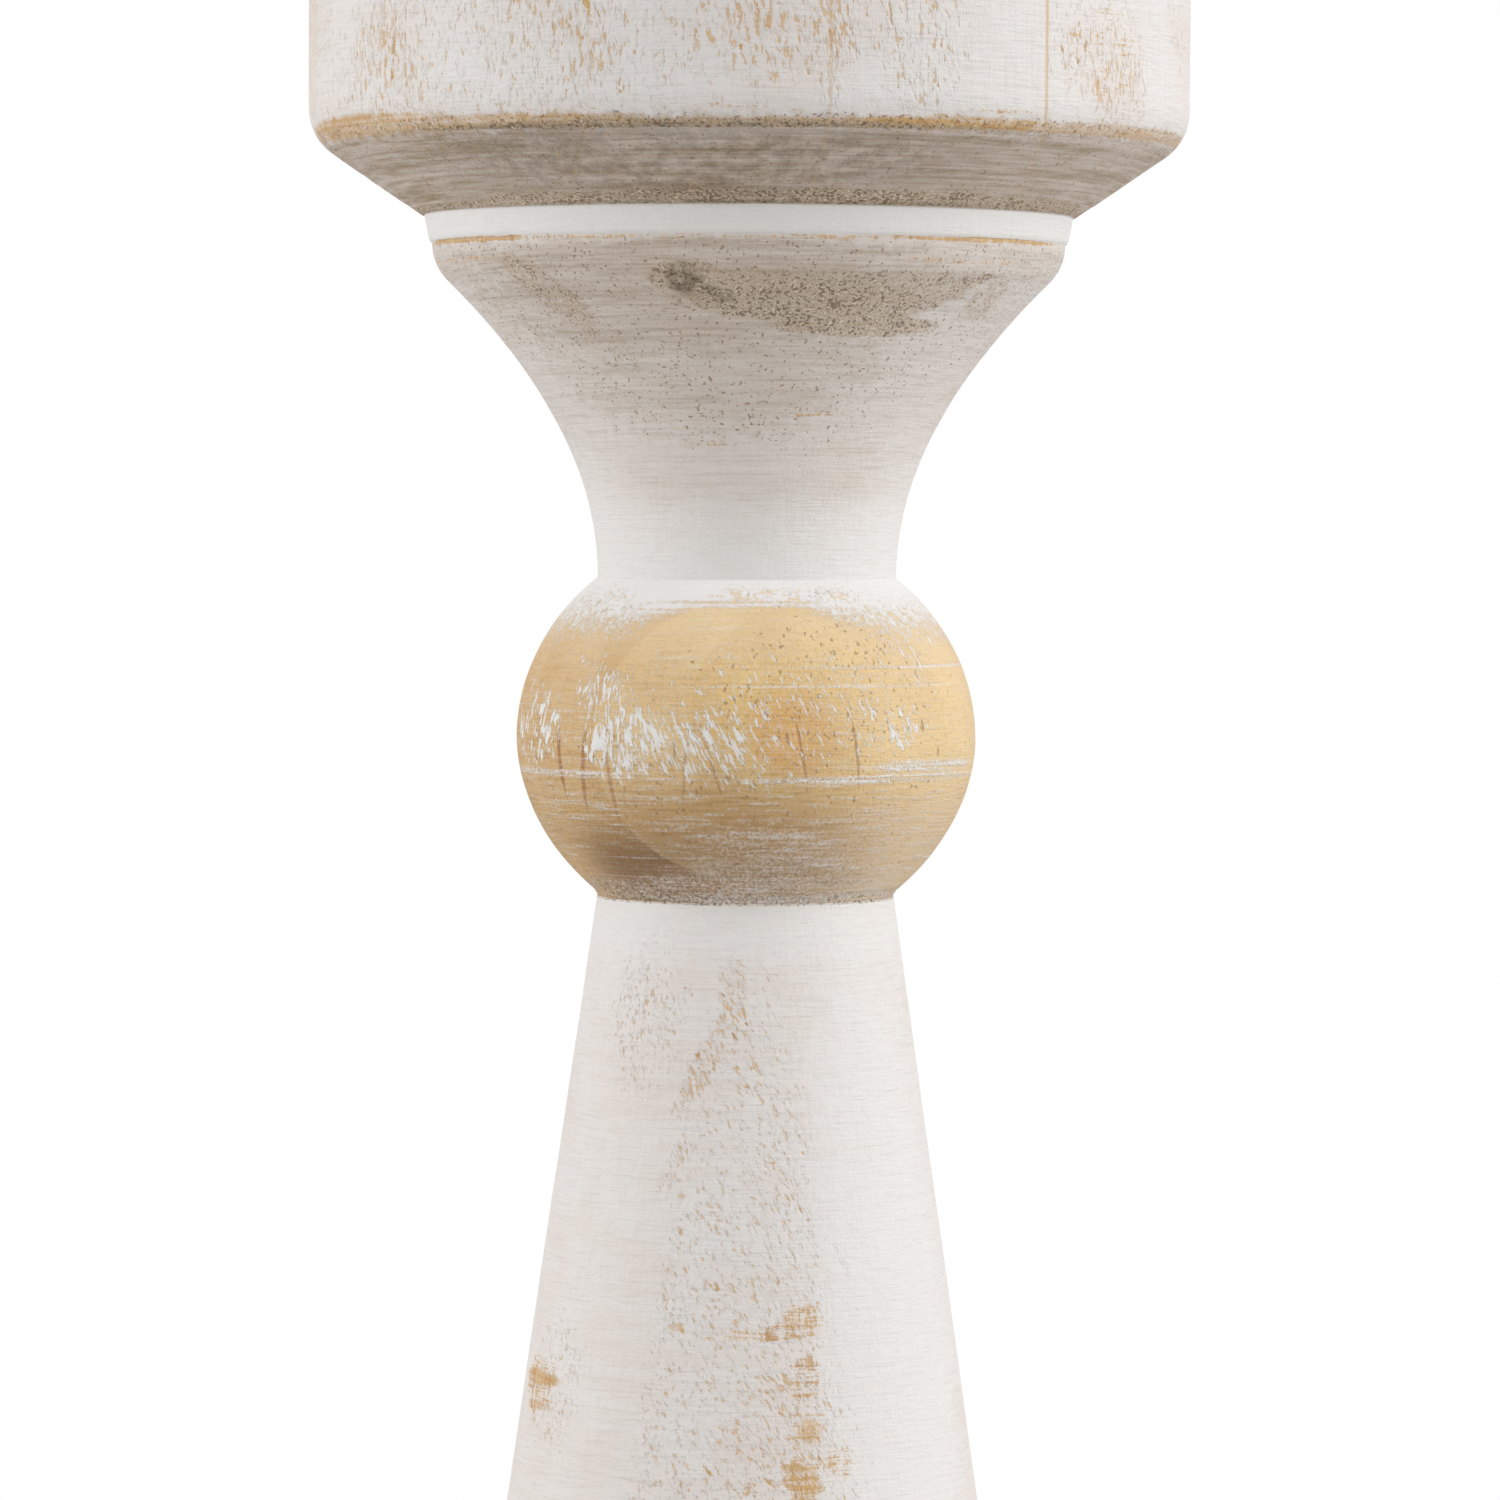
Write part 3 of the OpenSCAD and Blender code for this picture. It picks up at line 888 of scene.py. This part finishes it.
def make_cup():
    """The cup: one turned blank with a recess and a mortise, cut into its four planks."""
    side = (CUP_R, CUP_CORNER)
    rim = (CUP_R, CUP_TOP)
    lip = (RECESS_R, CUP_TOP)
    pocket = (RECESS_R, RECESS_FLOOR)
    skin = [(LEDGE_R, CUP_LOW)]
    skin += rounded(skin[0], side, rim, CUP_CORNER_R)
    skin += rounded(side, rim, lip, EDGE_ROUND, 6)
    skin += rounded(rim, lip, pocket, 1, 4)
    skin += [pocket]
    hole_end = SPIKE_LOW - END_GAP
    inside = [(POCKET_R, RECESS_FLOOR), (POCKET_R, PAN_LOW), (SPIKE_HOLE_R, PAN_LOW)]
    inside += [(SPIKE_HOLE_R, hole_end), (0, hole_end)]
    mortise = [(0, NECK_TOP + END_GAP), (MORTISE_R, NECK_TOP + END_GAP), (MORTISE_R, CUP_LOW)]
    blank = turned_piece("cup_blank", mortise + fine(skin, SKIN_STEP) + inside, SPIN_STEPS)
    mark_skin(blank, CUP_LOW + 0.5, CUP_TOP + 1, RECESS_R + 0.5)
    uneven(blank, (14, 0.18, 2), (1.6, 0.07, 3))
    features = {
        "rubbed": [
            (-62, 272.7, 20, 1.3, 0.9), (-35, 272.4, 24, 0.8, 0.75), (28, 272.3, 16, 0.7, 0.95),
            (60, 272.4, 24, 0.7, 0.45), (0, 272.1, ALL_ROUND, 0.5, 0.5),
        ],
        "bare": [
            (-30, 273.6, 50, 1.2, 0.55), (30, 273.4, 16, 1, 0.65), (0, 272.2, ALL_ROUND, 0.7, 0.6),
            (51, 281.5, 9, 7, 0.62), (-33, 284, 1.6, 3, 0.55), (100, 281, 8, 7, 0.55),
            (0, CUP_TOP - 0.6, ALL_ROUND, 0.9, 0.6),
        ],
        # Painted shade: the wash over the front of the chamfer at 268.2 and the line along its bottom edge
        # at 263.3 are shade; the two lines under the arris are dark marks.
        "dark": [
            (-12, 271.7, 36, 0.35, 0.55), (30, 271.7, 14, 0.3, 0.3), (-8, 268.2, 42, 4.4, 0.42),
            (5, 263.3, 40, 0.25, 0.5),
        ],
        "rough": [
            (-10, 271.9, 40, 0.5, 0.7), (10, 264.1, 40, 0.7, 1), (-35, 263.9, 14, 0.7, 0.7),
            (62, 263.8, 16, 0.6, 0.7), (0, 263.4, ALL_ROUND, 0.4, 0.8),
        ],
        "specks": [(0, 272.2, ALL_ROUND, 1, 0.8), (0, 267.2, ALL_ROUND, 4.4, 0.55)],
        "thin": [(0, 267, ALL_ROUND, 5, 1), (0, 263.9, ALL_ROUND, 1.6, 1)],
        "pores": [
            (51, 281.5, 12, 8, 0.3), (-46, 281, 22, 8, 0.38), (-22, 281.5, 20, 9, 0.37),
            (-2, 282, 7, 8, 0.38), (10, 282, 3, 9, 0.4), (22, 280, 6, 7, 0.45), (150, 285, 40, 12, 0.6),
            (-120, 283, 25, 10, 0.6),
        ],
        "glue": [(40, 288, 5, 16, 0.65), (10, 288, 5, 14, 0.3), (-140, 288, 5, 14, 0.8)],
    }
    material = whitewashed("whitewashed_cup", features, (75.0, 20.0, 0.0), pore_base=0.35,
                           planks=(CUP_TURN, 2 * CUP_R / PLANKS))
    cut_planks(blank, "cup", CUP_R, CUP_TURN, material)


def make_neck():
    """The neck: band, shoulder, flare and throat, bored for the dowel, with its tenon on top."""
    def flare(h):
        return THROAT_R + (FLARE_R - THROAT_R) * (h / FLARE_H) ** 2

    steps = 48
    skin = [(THROAT_R, BALL_TOP)]
    skin += [(flare(FLARE_H * i / steps), BALL_TOP + FLARE_H * i / steps) for i in range(1, steps)]
    top = (FLARE_R, BALL_TOP + FLARE_H)
    shoulder = (SHOULDER_R, top[1] + SHOULDER_RISE)
    skin += rounded(top, shoulder, (SHOULDER_R, BAND_LOW), SHOULDER_ROUND)
    skin += [(SHOULDER_R, BAND_LOW - 0.15), (SHOULDER_R + 0.12, BAND_LOW)]
    skin += [(SHOULDER_R + 0.28, BAND_LOW + 0.15), (SHOULDER_R + 0.42, BAND_LOW + 0.5), (BAND_R, CUP_LOW)]
    hole = [(0, BALL_TOP + DOWEL_GRIP), (DOWEL_HOLE_R, BALL_TOP + DOWEL_GRIP), (DOWEL_HOLE_R, BALL_TOP)]
    tenon = [(TENON_R, CUP_LOW), (TENON_R, NECK_TOP - 1), (TENON_R - 1, NECK_TOP), (0, NECK_TOP)]
    piece = turned_piece("coved_neck", hole + fine(skin, SKIN_STEP) + tenon, steps=560)
    mark_skin(piece, BALL_TOP + 0.1, CUP_LOW - 0.3, TENON_R + 2)
    uneven(piece, (9, 0.12, 1))
    features = {
        "thick_and_lit": [(0, 261.5, ALL_ROUND, 1.8, 1), (0, 219, ALL_ROUND, 8, 0.5)],
        "bare": [
            (-62, 259.3, 24, 0.35, 1.3), (45, 259.3, 36, 0.3, 1.1), (0, 259.2, ALL_ROUND, 0.3, 0.75),
            (-66, 256.9, 18, 0.4, 0.85), (48, 256.7, 22, 0.4, 0.7), (5, 238, 22, 0.4, 0.75),
            (-8, 234.6, 14, 0.35, 0.7), (2, 236.3, 12, 0.35, 0.6),
        ],
        "thin": [
            (-14, 256.7, 58, 2.6, 0.75), (0, 256.7, ALL_ROUND, 2.6, 0.42), (-16, 251.5, 56, 7.5, 0.66),
            (0, 251.5, ALL_ROUND, 7.5, 0.26), (-14, 246, 54, 12, 0.5), (0, 246, ALL_ROUND, 12, 0.25),
            (0, 236, 60, 14, 0.22),
        ],
        "dark": [(-12, 254.2, 3.4, 1.9, 0.95), (-8, 252.7, 4, 1.2, 0.6, -3)],
        "rough": [
            (-12, 254.5, 8, 2, 0.6), (12, 251.8, 26, 2.8, 0.75, -1.5), (25, 248.9, 20, 1.4, 0.8),
            (-43, 253, 7, 5, 0.46, -1.3), (-36, 247, 9, 6.5, 0.3, -1.3), (-25, 243, 12, 5, 0.25, -1.3),
            (56, 252.3, 7, 3, 0.4),
        ],
        "specks": [(0, 252, ALL_ROUND, 9, 0.6), (0, 243, 60, 10, 0.6)],
    }
    layers = ((22, 31.9, 249.3, 0.0, "rough", 0.5, 254.3, 3.0),)
    material = whitewashed("whitewashed_neck", features, (40.0, 60.0, 0.0), layers=layers)
    finish_piece(piece, material, "limewashed_wood", "neck")


def make_ball():
    """The ball, bored right through, its lower half a little fuller than a sphere."""
    def half(reach, power, start, end, steps):
        points = []
        for i in range(steps + 1):
            h = start + (end - start) * i / steps
            points.append((BALL_R * math.sqrt(1 - (abs(h) / reach) ** power), BALL_WIDE + h))
        return points

    # Each half is a power curve with a reach, a power, its two ends and its steps.
    skin = half(25.8, 1.85, BALL_LOW - BALL_WIDE, 0, 26) + half(26.5, 2, 0, BALL_TOP - BALL_WIDE, 26)[1:]
    # Glue and paint fill the joint, so the lowest edge meets the stem.
    skin[0] = (STEM_TOP_R - 0.08, BALL_LOW)
    bore = [(DOWEL_HOLE_R, BALL_TOP), (DOWEL_HOLE_R, BALL_LOW)]
    piece = turned_piece("turned_ball", fine(skin, SKIN_STEP) + bore, steps=512, closed=True)
    mark_skin(piece, BALL_LOW + 0.1, BALL_TOP - 0.1, TENON_R)
    uneven(piece, (9, 0.12, 1))
    finish_piece(piece, bare_ball(), "bare_wood", "ball")


def make_stem():
    """The tapered stem, with its tenon, the hole for the foot's screw and the dowel's socket."""
    skin = [(STEM_FOOT_R, FOOT_TOP), (STEM_TOP_R, BALL_LOW)]
    bolt_r = 3.1
    bolt_end = span("foot_screw")[1]
    hole = [(bolt_r, STEM_LOW), (TENON_R - 1, STEM_LOW), (TENON_R, STEM_LOW + 1), (TENON_R, FOOT_TOP)]
    socket = [(DOWEL_HOLE_R, BALL_LOW), (DOWEL_HOLE_R, BALL_LOW - DOWEL_GRIP), (0, BALL_LOW - DOWEL_GRIP)]
    outline = [(0, bolt_end + 2), (bolt_r, bolt_end + 2)] + hole + fine(skin, 0.8) + socket
    piece = turned_piece("tapered_stem", outline, steps=540)
    mark_skin(piece, FOOT_TOP + 0.3, BALL_LOW - 0.1, TENON_R + 1)
    uneven(piece, (12, 0.16, 2), (1.5, 0.05, 3))
    features = {
        "bare": [
            (16, 127, 8, 2.6, 0.95), (16, 120, 5, 4, 0.88), (17, 115, 5, 3, 0.85),
            (15, 108, 5.5, 3.5, 0.95), (24, 110, 5, 3, 0.7), (4, 125.6, 14, 1, 0.86),
            (5, 107.5, 6, 2.5, 0.7), (-68, 117.5, 12, 4, 0.9), (18, 166.5, 3, 0.4, 0.8),
            (-33, 165, 10, 0.5, 0.65), (140, 90, 8, 14, 0.7, 0.1), (-140, 130, 6, 9, 0.7, 0.1),
            (70, 62, 10, 6, 0.7), (-25, 58, 10, 6, 0.7),
        ],
        "rubbed": [
            (17, 114, 3, 1.6, 0.6), (15, 108, 3.5, 2.4, 0.75), (-68, 118.3, 11, 0.9, 0.85),
            (-67, 115, 8, 0.6, 0.7),
        ],
        "pores": [
            (-4, 167, 5, 6, 0.75), (-14, 158, 5, 6, 0.7, 1.2), (3, 152, 12, 14, 0.42),
            (-18, 148, 4, 6, 0.55, 1.2), (17, 140, 5, 8, 0.5, -0.6), (4, 132, 22, 12, 0.44),
            (10, 112, 22, 12, 0.56), (-36, 165, 16, 11, 0.4), (30, 133, 1.5, 5, 0.55, -0.6),
            (-60, 118, 14, 9, 0.35), (150, 120, 30, 40, 0.6), (-130, 110, 30, 30, 0.5),
            (0, 75, 40, 18, 0.55),
        ],
        # Painted light: the large patch right of the stem's front whitens the paint where the light falls;
        # the band at the top is thicker paint.
        "thick_and_lit": [(46, 125, 26, 45, 0.5), (0, BALL_LOW, ALL_ROUND, 7, 0.5)],
        "rough": [(0, BALL_LOW, ALL_ROUND, 0.3, 0.5)],
        "thin": [(0, FOOT_TOP, ALL_ROUND, 3, 0.6)],
    }
    layers = ((1, 19.6, 170.0, 0.085, "pores", 0.4, 172.0, 4.0),
              (185, 21.6, 170.0, 0.06, "pores", 0.5, 172.0, 4.0))
    material = whitewashed("whitewashed_stem", features, (10.0, 70.0, 0.0), pore_lean=0.4, layers=layers,
                           chip=(0.6, 1.3))
    finish_piece(piece, material, "limewashed_wood", "stem")


def make_foot():
    """The foot: one turned blank with a mortise and a counterbore, cut into its four planks."""
    side = (FOOT_R, FOOT_CORNER)
    base = (FOOT_R, FOOT_LOW)
    ledge = (LEDGE_R, FOOT_SHOULDER)
    skin = rounded((0, FOOT_LOW), base, side, EDGE_ROUND, 6) + rounded(base, side, ledge, CUP_CORNER_R)
    skin += [ledge, (BAND_R, FOOT_SHOULDER), (BAND_R - 0.5, FOOT_TOP)]
    washer_seat = span("foot_washer")[1]
    mortise_end = STEM_LOW - END_GAP
    mortise = [(MORTISE_R, FOOT_TOP), (MORTISE_R, mortise_end), (SCREW_HOLE_R, mortise_end)]
    mortise += [(SCREW_HOLE_R, washer_seat), (COUNTERBORE_R, washer_seat), (COUNTERBORE_R, FOOT_LOW)]
    blank = turned_piece("foot_blank", fine(skin, SKIN_STEP) + mortise, SPIN_STEPS, closed=True)
    mark_skin(blank, FOOT_LOW + 0.3, FOOT_TOP - 0.2, STEM_FOOT_R + 1)
    uneven(blank, (14, 0.18, 2), (1.6, 0.07, 3))
    features = {
        "bare": [
            (-30, FOOT_CORNER - 0.5, 30, 1.2, 0.9), (80, FOOT_CORNER - 0.5, 30, 1.2, 0.8),
            (0, FOOT_CORNER - 0.5, ALL_ROUND, 0.7, 0.75), (0, FOOT_LOW, ALL_ROUND, 1.6, 1.25),
        ],
        "thin": [(0, FOOT_CORNER + 5, ALL_ROUND, 4.2, 0.3)],
        "rough": [(20, FOOT_SHOULDER - 1, 60, 1, 0.65), (0, FOOT_SHOULDER - 0.3, ALL_ROUND, 0.5, 0.8)],
        "thick_and_lit": [(0, FOOT_TOP - 1.7, ALL_ROUND, 1.4, 1)],
        "pores": [(0, 14, ALL_ROUND, 9, 0.4)],
    }
    material = whitewashed("whitewashed_foot", features, (-65.0, 35.0, 0.0), pore_base=0.35,
                           planks=(FOOT_TURN, 2 * FOOT_R / PLANKS))
    cut_planks(blank, "foot", FOOT_R, FOOT_TURN, material)


def make_pan(material):
    """The pressed sheet pan: a rolled rim, a soft bend and a sunk seat for the spike."""
    sheet = 0.8
    seat_r = 7.5
    inner = PAN_R - sheet
    floor = RECESS_FLOOR + sheet
    sunk = PAN_LOW + sheet
    under = [(SPIKE_HOLE_R, PAN_LOW), (seat_r, PAN_LOW), (seat_r + 1.2, RECESS_FLOOR)]
    under += rounded((seat_r, RECESS_FLOOR), (PAN_R, RECESS_FLOOR), (PAN_R, PAN_TOP), 2)
    rim = rounded((PAN_R, floor), (PAN_R, PAN_TOP), (inner, PAN_TOP), 0.38, 5)
    rim += rounded((PAN_R, PAN_TOP), (inner, PAN_TOP), (inner, floor), 0.38, 5)
    inside = rounded((inner, PAN_TOP), (inner, floor), (seat_r, floor), 1.2)
    inside += rounded((inner, floor), (seat_r + 0.8, floor), (seat_r - 0.4, sunk), 0.5, 4)
    inside += [(seat_r - 0.4, sunk), (SPIKE_HOLE_R, sunk)]
    piece = turned_piece("pressed_pan", fine(under + rim + inside, 1.5), steps=192, closed=True)
    mark_skin(piece, floor - 0.2, PAN_TOP - 0.5, seat_r + 2)
    uneven(piece, (16, 0.12, 1))
    finish_piece(piece, material, "pan_metal", "drip_pan", sharp=30)


def make_spike(material):
    """The candle spike: a long ground point, a soft-edged collar and a threaded shank."""
    pin_r = 2
    collar_r = 5.5
    collar_low = PAN_LOW + 0.8
    collar_top = collar_low + 1.2
    point = SPIKE_TOP - 16
    shank = [(0, SPIKE_LOW), (0.9, SPIKE_LOW + 2), (1.5, SPIKE_LOW + 3.4)]
    pitch = 1.3
    height = SPIKE_LOW + 4
    while height < PAN_LOW - 3:
        shank += [(1.5, height), (pin_r, height + 0.3), (1.5, height + 0.6)]
        height += pitch
    shank += [(pin_r - 0.05, height + 0.3), (pin_r - 0.05, collar_low)]
    collar = rounded((pin_r, collar_low), (collar_r, collar_low), (collar_r, collar_top), 0.25, 4)
    collar += rounded((collar_r, collar_low), (collar_r, collar_top), (pin_r, collar_top), 0.4, 5)
    collar += rounded((collar_r, collar_top), (pin_r, collar_top), (pin_r, point), 0.35, 4)
    pin = rounded((pin_r, collar_top), (pin_r, point), (0, SPIKE_TOP), 8, 6)
    pin += [(0.12, SPIKE_TOP - 0.8), (0, SPIKE_TOP)]
    piece = turned_piece("candle_point", shank + collar + pin, steps=48)
    finish_piece(piece, material, "spike_steel", "candle_spike", sharp=40)


def make_fasteners(material):
    """The hex screw that holds the foot on, with its washer."""
    low, high = span("foot_screw")
    seat = span("foot_washer")[0]
    head_r = 5.8
    bolt_r = 3
    thread = [(0, seat - 0.5), (bolt_r, seat - 0.5), (bolt_r, seat + 14)]
    height = seat + 14
    while height < high - 7:
        thread += [(bolt_r - 0.45, height + 0.35), (bolt_r, height + 1.1)]
        height += 1.1
    thread += [(bolt_r - 0.6, high - 5), (0.3, high - 0.3), (0, high)]
    piece = turned_piece("hex_screw", thread, steps=40)
    bpy.ops.object.select_all(action="DESELECT")
    bpy.ops.mesh.primitive_cylinder_add(vertices=6, radius=head_r * MM, depth=(seat - low) * MM,
                                        location=(0, 0, (seat + low) / 2 * MM))
    head = bpy.context.object
    bpy.ops.object.transform_apply(location=True)
    crown = head.modifiers.new("crown", "BEVEL")
    crown.width = 0.45 * MM
    crown.segments = 3
    bpy.ops.object.modifier_apply(modifier=crown.name)
    piece.select_set(True)
    bpy.context.view_layer.objects.active = piece
    bpy.ops.object.join()
    finish_piece(piece, material, "zinc_steel", "foot_screw", sharp=30)

    low, high = span("foot_washer")
    edge_r = span("foot_washer", 0)[1]
    ring = rounded((SCREW_HOLE_R, low), (edge_r, low), (edge_r, high), 0.5, 4)
    ring += rounded((edge_r, low), (edge_r, high), (SCREW_HOLE_R, high), 0.3, 4)
    ring += [(SCREW_HOLE_R, high), (SCREW_HOLE_R, low + 0.2), (SCREW_HOLE_R + 0.2, low)]
    piece = turned_piece("plain_washer", ring, steps=72, closed=True)
    finish_piece(piece, material, "zinc_steel", "foot_washer", sharp=30)


def make_pads(material):
    """Four felt pads with soft, slightly uneven edges."""
    for number in range(1, 5):
        node = f"felt_pad_{number}"
        low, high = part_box(node)
        radius = (high[0] - low[0]) / 2 / MM
        outline = [(0, 0)] + rounded((0, 0), (radius, 0), (radius, PAD_TOP), 0.7, 5)
        outline += rounded((radius, 0), (radius, PAD_TOP), (0, PAD_TOP), 0.25, 3) + [(0, PAD_TOP)]
        piece = turned_piece(f"round_pad_{number}", fine(outline, 0.5), steps=96)
        edit_all()
        bpy.ops.transform.translate(value=((low[0] + high[0]) / 2, (low[1] + high[1]) / 2, 0))
        bpy.ops.object.mode_set(mode="OBJECT")
        mark_skin(piece, 0.1, PAD_TOP - 0.1, 0)
        uneven(piece, (1.2, 0.22, 1))
        finish_piece(piece, material, "felt", node, sharp=60)


def dress_node(node, material):
    """Gives a CAD node that is shown as it is its material."""
    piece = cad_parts[node]
    piece.data.materials.clear()
    piece.data.materials.append(material)


make_cup()
make_neck()
make_ball()
make_stem()
make_foot()
make_pan(plain_metal("blackened_sheet", tone(58, 55, 52), tone(104, 98, 92), 0.5, 0.9))
make_spike(plain_metal("ground_steel", tone(150, 148, 145), tone(184, 180, 176), 0.35, 1.0))
make_fasteners(plain_metal("zinc_plating", tone(178, 180, 180), tone(206, 206, 200), 0.38, 1.0))
make_pads(pressed_felt())
dress_node("centre_dowel", plain_dowel())


# ---------------------------------------------------------------- stage

def add_light(name, place, aim, size, power):
    """A round white softbox, turned to a point."""
    data = bpy.data.lights.new(name, "AREA")
    data.shape = "DISK"
    data.size = size
    data.energy = power
    lamp = bpy.data.objects.new(name, data)
    lamp.location = place
    lamp.rotation_euler = (Vector(aim) - Vector(place)).to_track_quat("-Z", "Y").to_euler()
    bpy.context.scene.collection.objects.link(lamp)


def make_floor():
    """A pale round floor, lit from above."""
    bpy.ops.object.select_all(action="DESELECT")
    bpy.ops.mesh.primitive_circle_add(vertices=96, radius=0.6, fill_type="NGON")
    floor = bpy.context.object
    floor.name = "floor"
    material, t, shader = new_material("pale_floor")
    grain = t.noise(t.add("TexCoord", {}, output=3), 60.0, detail=3.0)
    t.join(t.mix(grain, tone(206, 205, 203), tone(212, 211, 209)), shader.inputs["Base Color"])
    shader.inputs["Roughness"].default_value = 0.9
    floor.data.materials.append(material)


def make_world():
    """White all round behind the object, with soft light that comes mostly from above."""
    world = bpy.data.worlds.new("studio")
    bpy.context.scene.world = world
    world.use_nodes = True
    t = Tree(world.node_tree)
    up = t.add("SeparateXYZ", {0: t.add("TexCoord", {}, output=0)}, output=2)
    strength = t.ease(up, -0.7, 0.9, 0.5, 0.76)
    seen = t.add("LightPath", {}, output="Is Camera Ray")
    strength = t.add("Mix", {0: seen, 2: strength, 3: 1.0}, output=0, data_type="FLOAT")
    t.join(strength, world.node_tree.nodes["Background"].inputs["Strength"])
    world.node_tree.nodes["Background"].inputs["Color"].default_value = (1, 1, 1, 1)


make_floor()
make_world()
add_light("right softbox", (1.0, -0.25, 0.75), (0, 0, 0.2), 0.7, 6)
add_light("left softbox", (-1.0, -0.15, 0.6), (0, 0, 0.2), 0.7, 4)
bpy.context.scene.view_settings.view_transform = "Standard"
